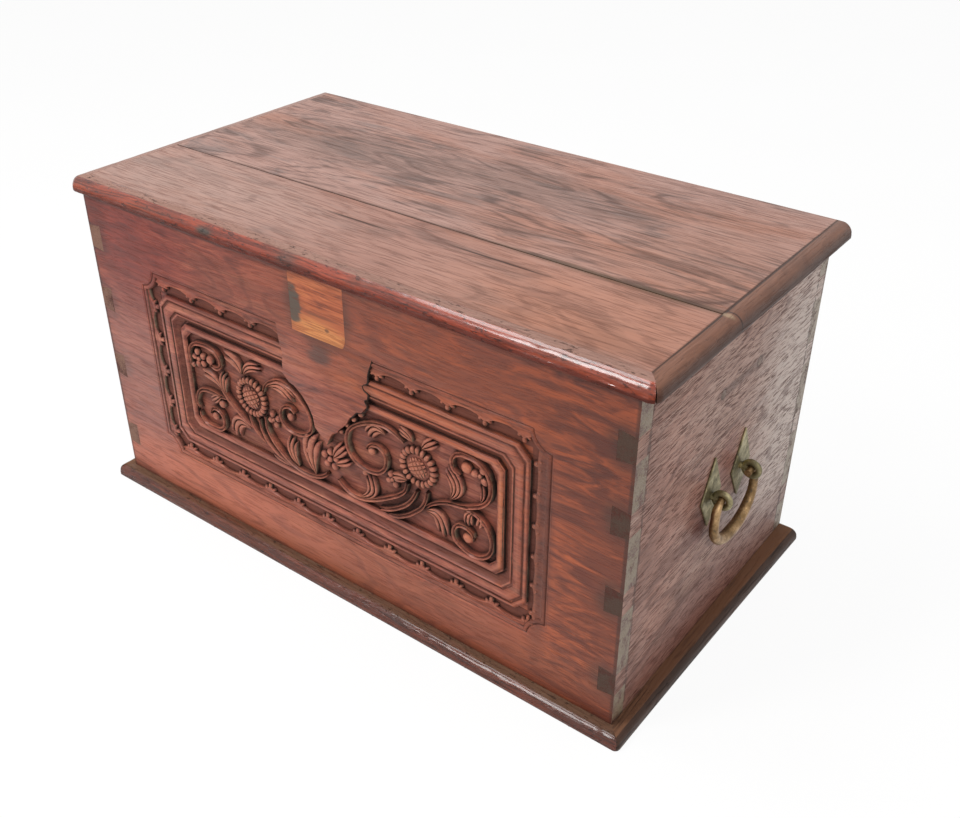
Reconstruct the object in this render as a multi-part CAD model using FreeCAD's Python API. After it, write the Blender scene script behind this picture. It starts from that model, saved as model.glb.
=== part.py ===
import FreeCAD, Part
import math
import os

# A carved blanket chest with a hinged lid and a swinging bail handle on each end.
# Millimetres. +X is the chest's right as seen from the front, the front faces -Y, +Z is up.
# The origin is on the floor, under the middle of the box that holds the chest.

V = FreeCAD.Vector
X_AXIS = V(1, 0, 0)
Y_AXIS = V(0, 1, 0)
Z_AXIS = V(0, 0, 1)
SIDES = {"left": -1, "right": 1}

# Case
case_length = 760.0
case_depth = 414.0
case_height = 395.0
front_thickness = 22.0
end_thickness = 20.0
back_thickness = 20.0
joint_gap = 0.1

# Dovetails: heights of the pins' middles, as shares of the case's height
pin_places = (0.14, 0.41, 0.65, 0.86)
pin_width = 28.0
pin_slope = 0.12

# Plinth and bottom planks
plinth_height = 15.0
plinth_front_reach = 17.0
plinth_end_reach = 18.0
plinth_shelf = 6.0
plinth_fillet = 6.0
plank_count = 3
plank_gap = 0.6

# Lid
lid_thickness = 18.0
lid_gap = 0.3
lid_front_overhang = 6.0
lid_end_overhang = 17.0
lid_back_overhang = 8.0
lid_front_moulding = 20.0
lid_end_moulding = 18.0
lid_moulding_fillet = 6.0
lid_seam_from_front = 145.0
lid_seam_gap = 1.6
batten_width = 42.0
batten_thickness = 15.0
batten_spacing = 400.0
batten_end_room = 14.0

# Carved panel in the front board
panel_length = 592.0
panel_height = 261.0
panel_foot = 62.0
scoop_radius = 22.0
rim_width = 8.0
frieze_width = 19.0
moulding_width = 20.0
cove_width = 11.0
bead_width = 9.0
frame_chamfer = 14.0
field_chamfer = 9.0
rim_depth = 2.0
frieze_depth = 6.0
cove_depth = 8.0
bead_depth = 4.0
field_depth = 10.0
shield_half_width = 57.0
shield_shoulder = 196.0
shield_bulge_x = 30.0
shield_bulge_z = 175.0
shield_tip = 150.0

# Patch over the old lock mortise
patch_left = 340.0
patch_width = 77.0
patch_height = 79.0
patch_thickness = 8.0
patch_corner = 19.0

# Plugs in two old holes of the right end board
plug_radius = 5.0
plug_height = 313.0
plug_from_front = 172.0
plug_spacing = 83.0

# Butt hinges
hinge_spacing = 480.0
hinge_length = 70.0
hinge_leaf = 18.0
leaf_thickness = 2.0
knuckle_radius = 4.0
knuckle_gap = 0.3
hinge_set_back = 2.0
hinge_pin_radius = 1.8
hinge_pin_fit = 0.05
screw_count = 3
screw_radius = 1.6
screw_head_radius = 3.2
screw_head_height = 1.6
screw_length = 12.0

# Handles
handle_height = 190.0
eye_spacing = 70.0
plate_width = 45.0
plate_rise = 49.0
plate_drop = 40.0
plate_thickness = 2.5
eye_radius = 12.0
eye_hole_radius = 5.2
eye_width = 9.0
eye_room = 0.2
shank_radius = 4.0
rove_radius = 9.0
rove_thickness = 2.0
rivet_radius = 6.0
rivet_height = 2.0
bail_pin_radius = 4.8
bail_radius = 5.8
bail_pin_end = 9.0
bail_bend = 7.5
bail_arm = 8.0
bail_side_room = 4.2

# Nails
nail_radius = 1.3
nail_head_radius = 2.6
nail_head_height = 1.0
nail_inset = 40.0
plinth_nail_length = 40.0
plinth_front_nails = 6
plinth_end_nails = 4
bottom_nail_length = 50.0
bottom_nail_inset = 60.0
bottom_row_nails = 5
moulding_nail_length = 42.0
moulding_front_nails = 6
moulding_end_nails = 3
batten_nail_length = 27.0
batten_nails = 3

# Levels and faces that follow from the sizes above
half_length = case_length / 2
overall_depth = plinth_front_reach + case_depth + lid_back_overhang
front_y = plinth_front_reach - overall_depth / 2
back_y = front_y + case_depth
middle_y = (front_y + back_y) / 2
inner_front_y = front_y + front_thickness
inner_back_y = back_y - back_thickness
inner_half = half_length - end_thickness
case_top = plinth_height + case_height
lid_under = case_top + lid_gap
lid_top = lid_under + lid_thickness
lid_front_y = front_y - lid_front_overhang
lid_back_y = back_y + lid_back_overhang
lid_half = half_length + lid_end_overhang
lid_board_half = lid_half - lid_end_moulding
lid_board_front = lid_front_y + lid_front_moulding
lid_seam_y = front_y + lid_seam_from_front
hinge_y = back_y + hinge_set_back
hinge_z = case_top + lid_gap / 2
handle_z = plinth_height + handle_height
eye_reach = plate_thickness + eye_radius + eye_room
panel_low = plinth_height + panel_foot
panel_high = panel_low + panel_height


def box(x0, x1, y0, y1, z0, z1):
    """A block between two corners."""
    return Part.makeBox(x1 - x0, y1 - y0, z1 - z0, V(x0, y0, z0))


def rod(start, direction, radius, length):
    """A round bar from a point along a direction."""
    return Part.makeCylinder(radius, length, start, direction)


def front_prism(points, y0, y1):
    """A prism whose outline is drawn on the front, as (x, z) points."""
    corners = [V(x, y0, z) for x, z in points]
    face = Part.Face(Part.makePolygon(corners + corners[:1]))
    return face.extrude(V(0, y1 - y0, 0))


def plan_prism(points, z0, z1):
    """A prism whose outline is drawn on the floor, as (x, y) points."""
    corners = [V(x, y, z0) for x, y in points]
    face = Part.Face(Part.makePolygon(corners + corners[:1]))
    return face.extrude(V(0, 0, z1 - z0))


def fuse_all(shapes):
    """Several overlapping shapes as one solid."""
    return shapes[0].multiFuse(shapes[1:]).removeSplitter()


def cut_all(shape, tools):
    """A shape with every tool taken away."""
    return shape.cut(Part.makeCompound(tools)) if tools else shape


def spread(low, high, count):
    """Evenly spaced places from low to high."""
    return [low + (high - low) * step / (count - 1) for step in range(count)]


# Nails and screws


def nail(head, direction, length, room=0.0):
    """A flat-headed nail whose head is flush at a point, or the hole for it."""
    shank = rod(head, direction, nail_radius + room, length)
    return shank.fuse(rod(head, direction, nail_head_radius + room, nail_head_height))


def nails(places, direction, length):
    """A row of nails and the holes that they need."""
    made = [nail(place, direction, length) for place in places]
    holes = [nail(place, direction, length, joint_gap) for place in places]
    return made, holes


def screw(head, direction, room=0.0):
    """A countersunk screw whose head is flush at a point, or the hole for it."""
    cone = Part.makeCone(screw_head_radius + room, screw_radius + room, screw_head_height, head, direction)
    return cone.fuse(rod(head, direction, screw_radius + room, screw_length))


def plinth_nails():
    """Nails through the plinth mouldings into the edges of the bottom planks."""
    level = plinth_fillet / 2
    front = [V(x, front_y - plinth_front_reach, level)
             for x in spread(nail_inset - half_length, half_length - nail_inset, plinth_front_nails)]
    made, holes = nails(front, Y_AXIS, plinth_nail_length)
    for side in SIDES.values():
        start = side * (half_length + plinth_end_reach)
        row = [V(start, y, level) for y in spread(front_y + nail_inset, back_y - nail_inset, plinth_end_nails)]
        more, more_holes = nails(row, V(-side, 0, 0), plinth_nail_length)
        made += more
        holes += more_holes
    return made, holes


def bottom_nails():
    """Nails up through the bottom planks into the lower edges of the case."""
    row = spread(bottom_nail_inset - half_length, half_length - bottom_nail_inset, bottom_row_nails)
    front = [V(x, front_y + front_thickness / 2, 0) for x in row]
    back = [V(x, back_y - back_thickness / 2, 0) for x in row]
    ends = [V(side * (half_length - end_thickness / 2), y, 0)
            for side in SIDES.values() for y in plank_middles()]
    return nails(front + back + ends, Z_AXIS, bottom_nail_length)


def moulding_nails():
    """Nails through the lid mouldings into the edges of the lid boards."""
    level = lid_under + lid_moulding_fillet / 2
    front = [V(x, lid_front_y, level)
             for x in spread(nail_inset - lid_board_half, lid_board_half - nail_inset, moulding_front_nails)]
    made, holes = nails(front, Y_AXIS, moulding_nail_length)
    for side in SIDES.values():
        row = [V(side * lid_half, y, level)
               for y in spread(lid_board_front + nail_inset, lid_back_y - nail_inset, moulding_end_nails)]
        more, more_holes = nails(row, V(-side, 0, 0), moulding_nail_length)
        made += more
        holes += more_holes
    return made, holes


def batten_rows():
    """Nails up through the lid battens into both lid boards."""
    front = spread(inner_front_y + nail_inset, lid_seam_y - nail_inset / 2, batten_nails - 1)
    rear = spread(lid_seam_y + nail_inset / 2, inner_back_y - nail_inset, batten_nails)
    places = [V(side * batten_spacing / 2, y, lid_under - batten_thickness)
              for side in SIDES.values() for y in front + rear]
    return nails(places, Z_AXIS, batten_nail_length)


# Dovetailed case


def pin(side, share, y0, y1, room=0.0):
    """One dovetail pin of an end board, or the socket for it."""
    middle = plinth_height + case_height * share
    tip = pin_width / 2 + room
    root = tip + (end_thickness + room) * pin_slope
    outer = side * half_length
    inner = side * (inner_half - room)
    points = [(outer, middle - tip), (outer, middle + tip), (inner, middle + root), (inner, middle - root)]
    return front_prism(points, y0, y1)


def tail_board(y0, y1):
    """A long board of the case with the sockets for the pins at both ends."""
    board = box(-half_length, half_length, y0, y1, plinth_height, case_top)
    sockets = [pin(side, share, y0, y1, joint_gap) for side in SIDES.values() for share in pin_places]
    return cut_all(board, sockets)


def end_board(side):
    """An end board with the pins that pass through the front and the back."""
    x0, x1 = sorted((side * inner_half, side * half_length))
    panel = box(x0, x1, inner_front_y, inner_back_y, plinth_height, case_top)
    front_pins = [pin(side, share, front_y, inner_front_y) for share in pin_places]
    back_pins = [pin(side, share, inner_back_y, back_y) for share in pin_places]
    board = fuse_all([panel] + front_pins + back_pins)
    bores = [rod(V(side * half_length, y, handle_z), V(-side, 0, 0), shank_radius + joint_gap, end_thickness)
             for y in eye_places()]
    return cut_all(board, bores)


def plank_middles():
    """The middles of the bottom planks, from front to back."""
    width = case_depth / plank_count
    return [front_y + width * (number + 0.5) for number in range(plank_count)]


def bottom_plank(middle):
    """One bottom plank, as long as the case."""
    half = (case_depth / plank_count - plank_gap) / 2
    low = front_y if middle == plank_middles()[0] else middle - half
    high = back_y if middle == plank_middles()[-1] else middle + half
    return box(-half_length, half_length, low, high, 0, plinth_height)


# Carved panel


def scooped_block(inset, depth):
    """The panel's outline with hollow round corners, drawn in by an inset."""
    x1 = panel_length / 2 - inset
    block = box(-x1, x1, front_y, front_y + depth, panel_low + inset, panel_high - inset)
    scoops = [rod(V(x, front_y, z), Y_AXIS, scoop_radius + inset, depth)
              for x in (-panel_length / 2, panel_length / 2) for z in (panel_low, panel_high)]
    return cut_all(block, scoops)


def chamfered_block(inset, chamfer, depth):
    """A frame outline with cut-off corners, drawn in by an inset."""
    x1 = panel_length / 2 - inset
    z0, z1 = panel_low + inset, panel_high - inset
    points = [(-x1, z0 + chamfer), (-x1 + chamfer, z0), (x1 - chamfer, z0), (x1, z0 + chamfer),
              (x1, z1 - chamfer), (x1 - chamfer, z1), (-x1 + chamfer, z1), (-x1, z1 - chamfer)]
    return front_prism(points, front_y, front_y + depth)


def shield():
    """The plain tongue of the board that runs down into the carving from its top edge."""
    y0 = front_y - joint_gap
    top, shoulder = panel_high + rim_width, panel_low + shield_shoulder
    bulge, tip = panel_low + shield_bulge_z, panel_low + shield_tip
    left, right = V(-shield_half_width, y0, shoulder), V(shield_half_width, y0, shoulder)
    low = V(0, y0, tip)
    edges = [
        Part.makeLine(V(-shield_half_width, y0, top), left),
        Part.Arc(left, V(-shield_bulge_x, y0, bulge), low).toShape(),
        Part.Arc(low, V(shield_bulge_x, y0, bulge), right).toShape(),
        Part.makeLine(right, V(shield_half_width, y0, top)),
        Part.makeLine(V(shield_half_width, y0, top), V(-shield_half_width, y0, top)),
    ]
    return Part.Face(Part.Wire(edges)).extrude(V(0, field_depth + 2 * joint_gap, 0))


def carved_hollows():
    """What the carver took out of the front board: the frieze, the frame's steps and the field."""
    frieze_in = rim_width + frieze_width
    cove_out = frieze_in + moulding_width
    bead_out = cove_out + cove_width
    field_out = bead_out + bead_width
    hollows = [
        scooped_block(0, rim_depth),
        scooped_block(rim_width, frieze_depth).cut(chamfered_block(frieze_in, frame_chamfer, frieze_depth)),
        chamfered_block(cove_out, frame_chamfer, cove_depth).cut(
            chamfered_block(bead_out, field_chamfer, cove_depth)),
        chamfered_block(bead_out, field_chamfer, bead_depth),
        chamfered_block(field_out, field_chamfer, field_depth),
    ]
    return [hollow.cut(shield()) for hollow in hollows]


def lock_patch(room=0.0):
    """The patch let into the front's top edge, or the pocket for it, with one corner rounded off."""
    x0 = patch_left - half_length - room
    x1 = patch_left - half_length + patch_width + room
    z0 = case_top - patch_height - room
    block = box(x0, x1, front_y, front_y + patch_thickness, z0, case_top)
    corner = box(x1 - patch_corner, x1, front_y, front_y + patch_thickness, z0, z0 + patch_corner)
    round_part = rod(V(x1 - patch_corner, front_y, z0 + patch_corner), Y_AXIS, patch_corner, patch_thickness)
    return block.cut(corner).fuse(corner.common(round_part)).removeSplitter()


# Mouldings


def moulding_face(place, shelf, reach, height, fillet):
    """A moulding's section: a flat shelf, a rounded shoulder and a plain lower edge.

    place turns (reach outwards, height) into a point.
    """
    run, rise = reach - shelf, height - fillet
    radius = (run * run + rise * rise) / (2 * rise)
    half_turn = math.asin(run / radius) / 2
    crown = place(shelf + radius * math.sin(half_turn), height - radius * (1 - math.cos(half_turn)))
    corners = [place(reach, fillet), place(reach, 0), place(0, 0), place(0, height)]
    edges = [Part.makeLine(a, b) for a, b in zip(corners, corners[1:])]
    if shelf > 0:
        edges.append(Part.makeLine(place(0, height), place(shelf, height)))
    edges.append(Part.Arc(place(shelf, height), crown, place(reach, fillet)).toShape())
    return Part.Face(Part.Wire(edges))


def front_moulding(inner_y, half, low, shelf, reach, height, fillet):
    """A moulding along the front, before its ends are mitred."""
    section = moulding_face(lambda u, v: V(-half, inner_y - u, low + v), shelf, reach, height, fillet)
    return section.extrude(V(2 * half, 0, 0))


def end_moulding(side, inner_x, y0, y1, low, shelf, reach, height, fillet):
    """A moulding along one end, before its front end is mitred."""
    section = moulding_face(lambda u, v: V(side * (inner_x + u), y0, low + v), shelf, reach, height, fillet)
    return section.extrude(V(0, y1 - y0, 0))


def plinth_front():
    """The plinth's front moulding, mitred at both ends."""
    outer = half_length + plinth_end_reach
    outer_y = front_y - plinth_front_reach
    bar = front_moulding(front_y, outer, 0, plinth_shelf, plinth_front_reach, plinth_height, plinth_fillet)
    plan = [(-half_length, front_y), (half_length, front_y), (outer, outer_y), (-outer, outer_y)]
    return bar.common(plan_prism(plan, 0, plinth_height))


def plinth_end(side):
    """One of the plinth's end mouldings, mitred at the front and square at the back."""
    outer = side * (half_length + plinth_end_reach)
    outer_y = front_y - plinth_front_reach
    bar = end_moulding(side, half_length, outer_y, back_y, 0,
                       plinth_shelf, plinth_end_reach, plinth_height, plinth_fillet)
    plan = [(side * half_length, front_y), (side * half_length, back_y), (outer, back_y), (outer, outer_y)]
    return bar.common(plan_prism(plan, 0, plinth_height))


def lid_front():
    """The lid's front moulding, mitred at both ends."""
    bar = front_moulding(lid_board_front, lid_half, lid_under, 0,
                         lid_front_moulding, lid_thickness, lid_moulding_fillet)
    plan = [(-lid_board_half, lid_board_front), (lid_board_half, lid_board_front),
            (lid_half, lid_front_y), (-lid_half, lid_front_y)]
    return bar.common(plan_prism(plan, lid_under, lid_top))


def lid_end(side):
    """One of the lid's end mouldings, mitred at the front and square at the back."""
    bar = end_moulding(side, lid_board_half, lid_front_y, lid_back_y, lid_under, 0,
                       lid_end_moulding, lid_thickness, lid_moulding_fillet)
    inner, outer = side * lid_board_half, side * lid_half
    plan = [(inner, lid_board_front), (inner, lid_back_y), (outer, lid_back_y), (outer, lid_front_y)]
    return bar.common(plan_prism(plan, lid_under, lid_top))


def batten(side):
    """A batten across the underside of the lid, clear of the case."""
    middle = side * batten_spacing / 2
    return box(middle - batten_width / 2, middle + batten_width / 2, inner_front_y + batten_end_room,
               inner_back_y - batten_end_room, lid_under - batten_thickness, lid_under)


# Hinges


def hinge_middle(side):
    """The middle of a hinge along the chest."""
    return side * hinge_spacing / 2


def knuckle_spans(side):
    """The three knuckles' low and high places along the pin."""
    low = hinge_middle(side) - hinge_length / 2
    each = (hinge_length - 2 * knuckle_gap) / 3
    return [(low + number * (each + knuckle_gap), low + number * (each + knuckle_gap) + each)
            for number in range(3)]


def barrel(x0, x1, radius):
    """A round stretch about the hinge's axis."""
    return rod(V(x0, hinge_y, hinge_z), X_AXIS, radius, x1 - x0)


def leaf(side, low, high, own, other):
    """A hinge leaf between two heights, with its own knuckles and room for the other's."""
    middle = hinge_middle(side)
    plate = box(middle - hinge_length / 2, middle + hinge_length / 2, back_y - hinge_leaf, hinge_y, low, high)
    rooms = [barrel(x0 - knuckle_gap, x1 + knuckle_gap, knuckle_radius + knuckle_gap) for x0, x1 in other]
    knuckles = [barrel(x0, x1, knuckle_radius) for x0, x1 in own]
    whole = fuse_all([cut_all(plate, rooms)] + knuckles)
    bore = barrel(middle - hinge_length, middle + hinge_length, hinge_pin_radius + hinge_pin_fit)
    return whole.cut(bore)


def hinge_pin(side):
    """The pin through the three knuckles."""
    middle = hinge_middle(side)
    return barrel(middle - hinge_length / 2, middle + hinge_length / 2, hinge_pin_radius)


def leaf_bed(side, low, high):
    """The shallow bed that a leaf is let into."""
    middle = hinge_middle(side)
    half = hinge_length / 2 + joint_gap
    return box(middle - half, middle + half, back_y - hinge_leaf - joint_gap, lid_back_y, low, high)


def barrel_room(side):
    """The room about the barrel that the woodwork keeps clear."""
    middle = hinge_middle(side)
    half = hinge_length / 2 + knuckle_gap
    return barrel(middle - half, middle + half, knuckle_radius + knuckle_gap)


def lid_notch(side):
    """The notch in the lid's rear edge that shows the barrel."""
    middle = hinge_middle(side)
    half = hinge_length / 2 + knuckle_gap
    high = hinge_z + knuckle_radius + knuckle_gap
    return box(middle - half, middle + half, hinge_y, lid_back_y, lid_under, high)


def hinge_screws(level, direction):
    """The screws of both hinges' leaves at one level, and the holes that they need."""
    y = back_y - hinge_leaf / 2
    places = [V(hinge_middle(side) + step, y, level) for side in SIDES.values()
              for step in spread(-hinge_length / 3, hinge_length / 3, screw_count)]
    made = [screw(place, direction) for place in places]
    holes = [screw(place, direction, joint_gap) for place in places]
    return made, holes


# Handles


def eye_places():
    """Where the two eyes of a handle stand, from front to back."""
    return middle_y - eye_spacing / 2, middle_y + eye_spacing / 2


def backplate(side, y):
    """A kite-shaped plate on an end board, with the hole for the eye's shank."""
    face = side * half_length
    corners = [V(face, y, handle_z + plate_rise), V(face, y + plate_width / 2, handle_z),
               V(face, y, handle_z - plate_drop), V(face, y - plate_width / 2, handle_z)]
    plate = Part.Face(Part.makePolygon(corners + corners[:1])).extrude(V(side * plate_thickness, 0, 0))
    return plate.cut(rod(V(face, y, handle_z), V(side, 0, 0), shank_radius + joint_gap, plate_thickness))


def eye(side, y):
    """A ring whose shank passes through its plate and the board and is riveted over a rove inside."""
    out = V(side, 0, 0)
    centre = V(side * (half_length + eye_reach), y, handle_z)
    ring = rod(centre - Y_AXIS * (eye_width / 2), Y_AXIS, eye_radius, eye_width)
    hole = rod(centre - Y_AXIS * eye_width, Y_AXIS, eye_hole_radius, 2 * eye_width)
    tail = V(side * (inner_half - rove_thickness - rivet_height), y, handle_z)
    shank_length = end_thickness + rove_thickness + rivet_height + eye_reach - eye_hole_radius
    shank = rod(tail, out, shank_radius, shank_length)
    rivet = rod(tail, out, rivet_radius, rivet_height)
    return fuse_all([ring, shank, rivet]).cut(hole)


def rove(side, y):
    """The washer under a riveted shank, inside the case."""
    start = V(side * (inner_half - rove_thickness), y, handle_z)
    disc = rod(start, V(side, 0, 0), rove_radius, rove_thickness)
    return disc.cut(rod(start, V(side, 0, 0), shank_radius + joint_gap, rove_thickness))


def bail(side):
    """A swinging handle: a pin in each eye, a bend, two arms that swell and a round grip."""
    x = side * (half_length + eye_reach)
    arm_y = eye_spacing / 2 + eye_width / 2 + bail_side_room + bail_radius / 2
    bend_y = arm_y - bail_bend
    grip_z = handle_z - bail_bend - bail_arm
    solids = []
    for way in (-1, 1):
        tip = V(x, middle_y + way * (eye_spacing / 2 - bail_pin_end), handle_z)
        elbow = V(x, middle_y + way * bend_y, handle_z)
        solids.append(rod(tip, Y_AXIS * way, bail_pin_radius, (elbow - tip).Length))
        solids.append(Part.makeSphere(bail_pin_radius, tip))
        ring = Part.makeTorus(bail_bend, bail_pin_radius, V(x, elbow.y, handle_z - bail_bend), X_AXIS)
        corner = V(x - bail_radius * 2, min(elbow.y, elbow.y + way * bail_bend * 2), handle_z - bail_bend)
        solids.append(ring.common(Part.makeBox(bail_radius * 4, bail_bend * 2, bail_bend * 2, corner)))
        arm_top = V(x, middle_y + way * arm_y, handle_z - bail_bend)
        solids.append(Part.makeCone(bail_pin_radius, bail_radius, bail_arm, arm_top, -Z_AXIS))
    grip = Part.makeTorus(arm_y, bail_radius, V(x, middle_y, grip_z), X_AXIS)
    span = arm_y + 2 * bail_radius
    below = box(x - 2 * bail_radius, x + 2 * bail_radius, middle_y - span, middle_y + span, grip_z - span, grip_z)
    solids.append(grip.common(below))
    return fuse_all(solids)


# Assembly


def old_hole_plugs(room=0.0):
    """Plugs through the right end board where older fittings were, or the holes for them."""
    return [rod(V(inner_half, front_y + plug_from_front + step, plinth_height + plug_height), X_AXIS,
                plug_radius + room, end_thickness) for step in (0, plug_spacing)]


def case_parts():
    """The pieces of the case, its plinth and its bottom."""
    base_made, base_holes = plinth_nails()
    floor_made, floor_holes = bottom_nails()
    case_screws, case_screw_holes = hinge_screws(case_top, -Z_AXIS)
    beds = [leaf_bed(side, case_top - leaf_thickness, case_top) for side in SIDES.values()]
    rooms = [barrel_room(side) for side in SIDES.values()]
    parts = {
        "front_board": cut_all(tail_board(front_y, inner_front_y),
                               carved_hollows() + [lock_patch(joint_gap)] + floor_holes),
        "back_board": cut_all(tail_board(inner_back_y, back_y), beds + rooms + floor_holes + case_screw_holes),
        "left_end_board": cut_all(end_board(SIDES["left"]), floor_holes),
        "right_end_board": cut_all(end_board(SIDES["right"]), floor_holes + old_hole_plugs(joint_gap)),
        "lock_patch": lock_patch(),
        "old_hole_plugs": Part.makeCompound(old_hole_plugs()),
        "plinth_front_moulding": cut_all(plinth_front(), base_holes),
        "plinth_nails": Part.makeCompound(base_made),
        "bottom_nails": Part.makeCompound(floor_made),
        "hinge_case_screws": Part.makeCompound(case_screws),
    }
    for name, side in SIDES.items():
        parts["plinth_" + name + "_moulding"] = cut_all(plinth_end(side), base_holes)
        outer, inner = knuckle_spans(side)[::2], knuckle_spans(side)[1:2]
        plate = leaf(side, case_top - leaf_thickness, case_top, outer, inner)
        parts[name + "_hinge_case_leaf"] = cut_all(plate, case_screw_holes)
        parts[name + "_hinge_pin"] = hinge_pin(side)
    for number, middle in enumerate(plank_middles(), start=1):
        parts["bottom_plank_" + str(number)] = cut_all(bottom_plank(middle), base_holes + floor_holes)
    return parts


def lid_parts():
    """The pieces that turn with the lid."""
    edge_made, edge_holes = moulding_nails()
    batten_made, batten_holes = batten_rows()
    lid_screws, lid_screw_holes = hinge_screws(lid_under, Z_AXIS)
    beds = [leaf_bed(side, lid_under, lid_under + leaf_thickness) for side in SIDES.values()]
    rooms = [barrel_room(side) for side in SIDES.values()]
    notches = [lid_notch(side) for side in SIDES.values()]
    front = box(-lid_board_half, lid_board_half, lid_board_front, lid_seam_y - lid_seam_gap / 2, lid_under, lid_top)
    rear = box(-lid_board_half, lid_board_half, lid_seam_y + lid_seam_gap / 2, lid_back_y, lid_under, lid_top)
    nail_holes = edge_holes + batten_holes
    parts = {
        "lid_front_board": cut_all(front, nail_holes),
        "lid_rear_board": cut_all(rear, nail_holes + beds + rooms + notches + lid_screw_holes),
        "lid_front_moulding": cut_all(lid_front(), edge_holes),
        "lid_moulding_nails": Part.makeCompound(edge_made),
        "lid_batten_nails": Part.makeCompound(batten_made),
        "hinge_lid_screws": Part.makeCompound(lid_screws),
    }
    for name, side in SIDES.items():
        parts["lid_" + name + "_moulding"] = cut_all(lid_end(side), edge_holes)
        parts["lid_" + name + "_batten"] = cut_all(batten(side), batten_holes)
        outer, inner = knuckle_spans(side)[::2], knuckle_spans(side)[1:2]
        plate = leaf(side, lid_under, lid_under + leaf_thickness, inner, outer)
        parts[name + "_hinge_lid_leaf"] = cut_all(plate, lid_screw_holes)
    return parts


def handle_parts():
    """Both handles: plates, eyes, roves and bails."""
    parts = {"handle_roves": Part.makeCompound([rove(side, y) for side in SIDES.values() for y in eye_places()])}
    for name, side in SIDES.items():
        for place, y in zip(("front", "rear"), eye_places()):
            parts["_".join((name, place, "handle_plate"))] = backplate(side, y)
            parts["_".join((name, place, "handle_eye"))] = eye(side, y)
        parts[name + "_bail"] = bail(side)
    return parts


def main():
    """Write every piece to its own file."""
    os.makedirs("parts", exist_ok=True)
    parts = {**case_parts(), **lid_parts(), **handle_parts()}
    for name, shape in parts.items():
        shape.exportStep(os.path.join("parts", name + ".step"))
        print(name, len(shape.Solids), "solids", round(shape.Volume), "mm3", shape.isValid())


main()
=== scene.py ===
"""Dress the carved blanket chest: wood and brass finishes, relief carving, mouldings and bails."""

import logging
import math
from collections.abc import Callable, Iterable, Sequence
from dataclasses import dataclass, replace
from enum import Enum

import bmesh
import bpy
from mathutils import Matrix, Vector, noise


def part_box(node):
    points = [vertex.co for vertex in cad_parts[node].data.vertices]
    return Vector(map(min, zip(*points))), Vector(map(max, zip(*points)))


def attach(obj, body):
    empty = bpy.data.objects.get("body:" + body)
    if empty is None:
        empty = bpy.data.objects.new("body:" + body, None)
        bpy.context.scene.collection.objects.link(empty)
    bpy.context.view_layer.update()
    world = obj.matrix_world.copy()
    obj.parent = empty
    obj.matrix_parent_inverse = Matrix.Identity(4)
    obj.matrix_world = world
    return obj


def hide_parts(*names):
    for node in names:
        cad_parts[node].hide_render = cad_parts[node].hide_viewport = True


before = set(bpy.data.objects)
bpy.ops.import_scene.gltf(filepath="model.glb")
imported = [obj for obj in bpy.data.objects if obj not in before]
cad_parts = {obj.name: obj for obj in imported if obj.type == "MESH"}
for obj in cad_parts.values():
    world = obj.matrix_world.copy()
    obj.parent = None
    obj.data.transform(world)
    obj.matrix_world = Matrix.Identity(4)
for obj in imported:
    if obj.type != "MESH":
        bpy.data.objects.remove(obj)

LOG = logging.getLogger("blanket_chest")
MM = 0.001
# The carvings' vertex layer: above 0 it darkens low places with dirt and painted shade, below 0 it
# lightens ridges with wear and painted highlight.
DIRT_SHADE_AND_WEAR_LAYER = "soil"
DIRT = "2a1a14"
SOOT = "4a3c35"
ORANGE = "b3592f"

Colour = tuple[float, float, float, float]
Place = tuple[float, float, float]
Spot = tuple[float, float]
SoiledAndShaded = tuple[float, float, float]

WHITE: Colour = (1.0, 1.0, 1.0, 1.0)


def tint(code: str) -> Colour:
    """Turn a six-digit screen colour into the linear colour that shaders take.

    Args:
        code: Red, green and blue as two hexadecimal digits each.

    Returns:
        The linear colour, opaque.
    """
    parts = [int(code[i:i + 2], 16) / 255 for i in (0, 2, 4)]
    red, green, blue = [p / 12.92 if p <= 0.04045 else ((p + 0.055) / 1.055) ** 2.4 for p in parts]
    return (red, green, blue, 1.0)


def tints(codes: str) -> tuple[Colour, ...]:
    """Turn a row of screen colours into linear ones."""
    return tuple(tint(code) for code in codes.split())


class Value:
    """A shader socket that takes part in Python arithmetic."""

    def __init__(self, shader: "Shader", socket: bpy.types.NodeSocket | None) -> None:
        """Keep the socket and the shader that it belongs to."""
        self.shader = shader
        self.socket = socket

    def maths(self, operation: str, first: "Value | float", second: "Value | float" = 0.0) -> "Value":
        """Add one Math node and return its result."""
        return self.shader.node("ShaderNodeMath", {"operation": operation}, {0: first, 1: second})

    def __add__(self, other: "Value | float") -> "Value":
        """Return self + other."""
        return self.maths("ADD", self, other)

    def __sub__(self, other: "Value | float") -> "Value":
        """Return self - other."""
        return self.maths("SUBTRACT", self, other)

    def __rsub__(self, other: float) -> "Value":
        """Return other - self."""
        return self.maths("SUBTRACT", other, self)

    def __mul__(self, other: "Value | float") -> "Value":
        """Return self * other."""
        return self.maths("MULTIPLY", self, other)

    __radd__ = __add__
    __rmul__ = __mul__

    def sine(self) -> "Value":
        """Return the sine of the value in radians."""
        return self.maths("SINE", self)

    def size(self) -> "Value":
        """Return the value without its sign."""
        return self.maths("ABSOLUTE", self)

    def rise(self, low: float, high: float) -> "Value":
        """Return a smooth step from 0 at low to 1 at high."""
        sockets = {"Value": self, "From Min": low, "From Max": high}
        return self.shader.node("ShaderNodeMapRange", {"interpolation_type": "SMOOTHSTEP"}, sockets)


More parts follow.
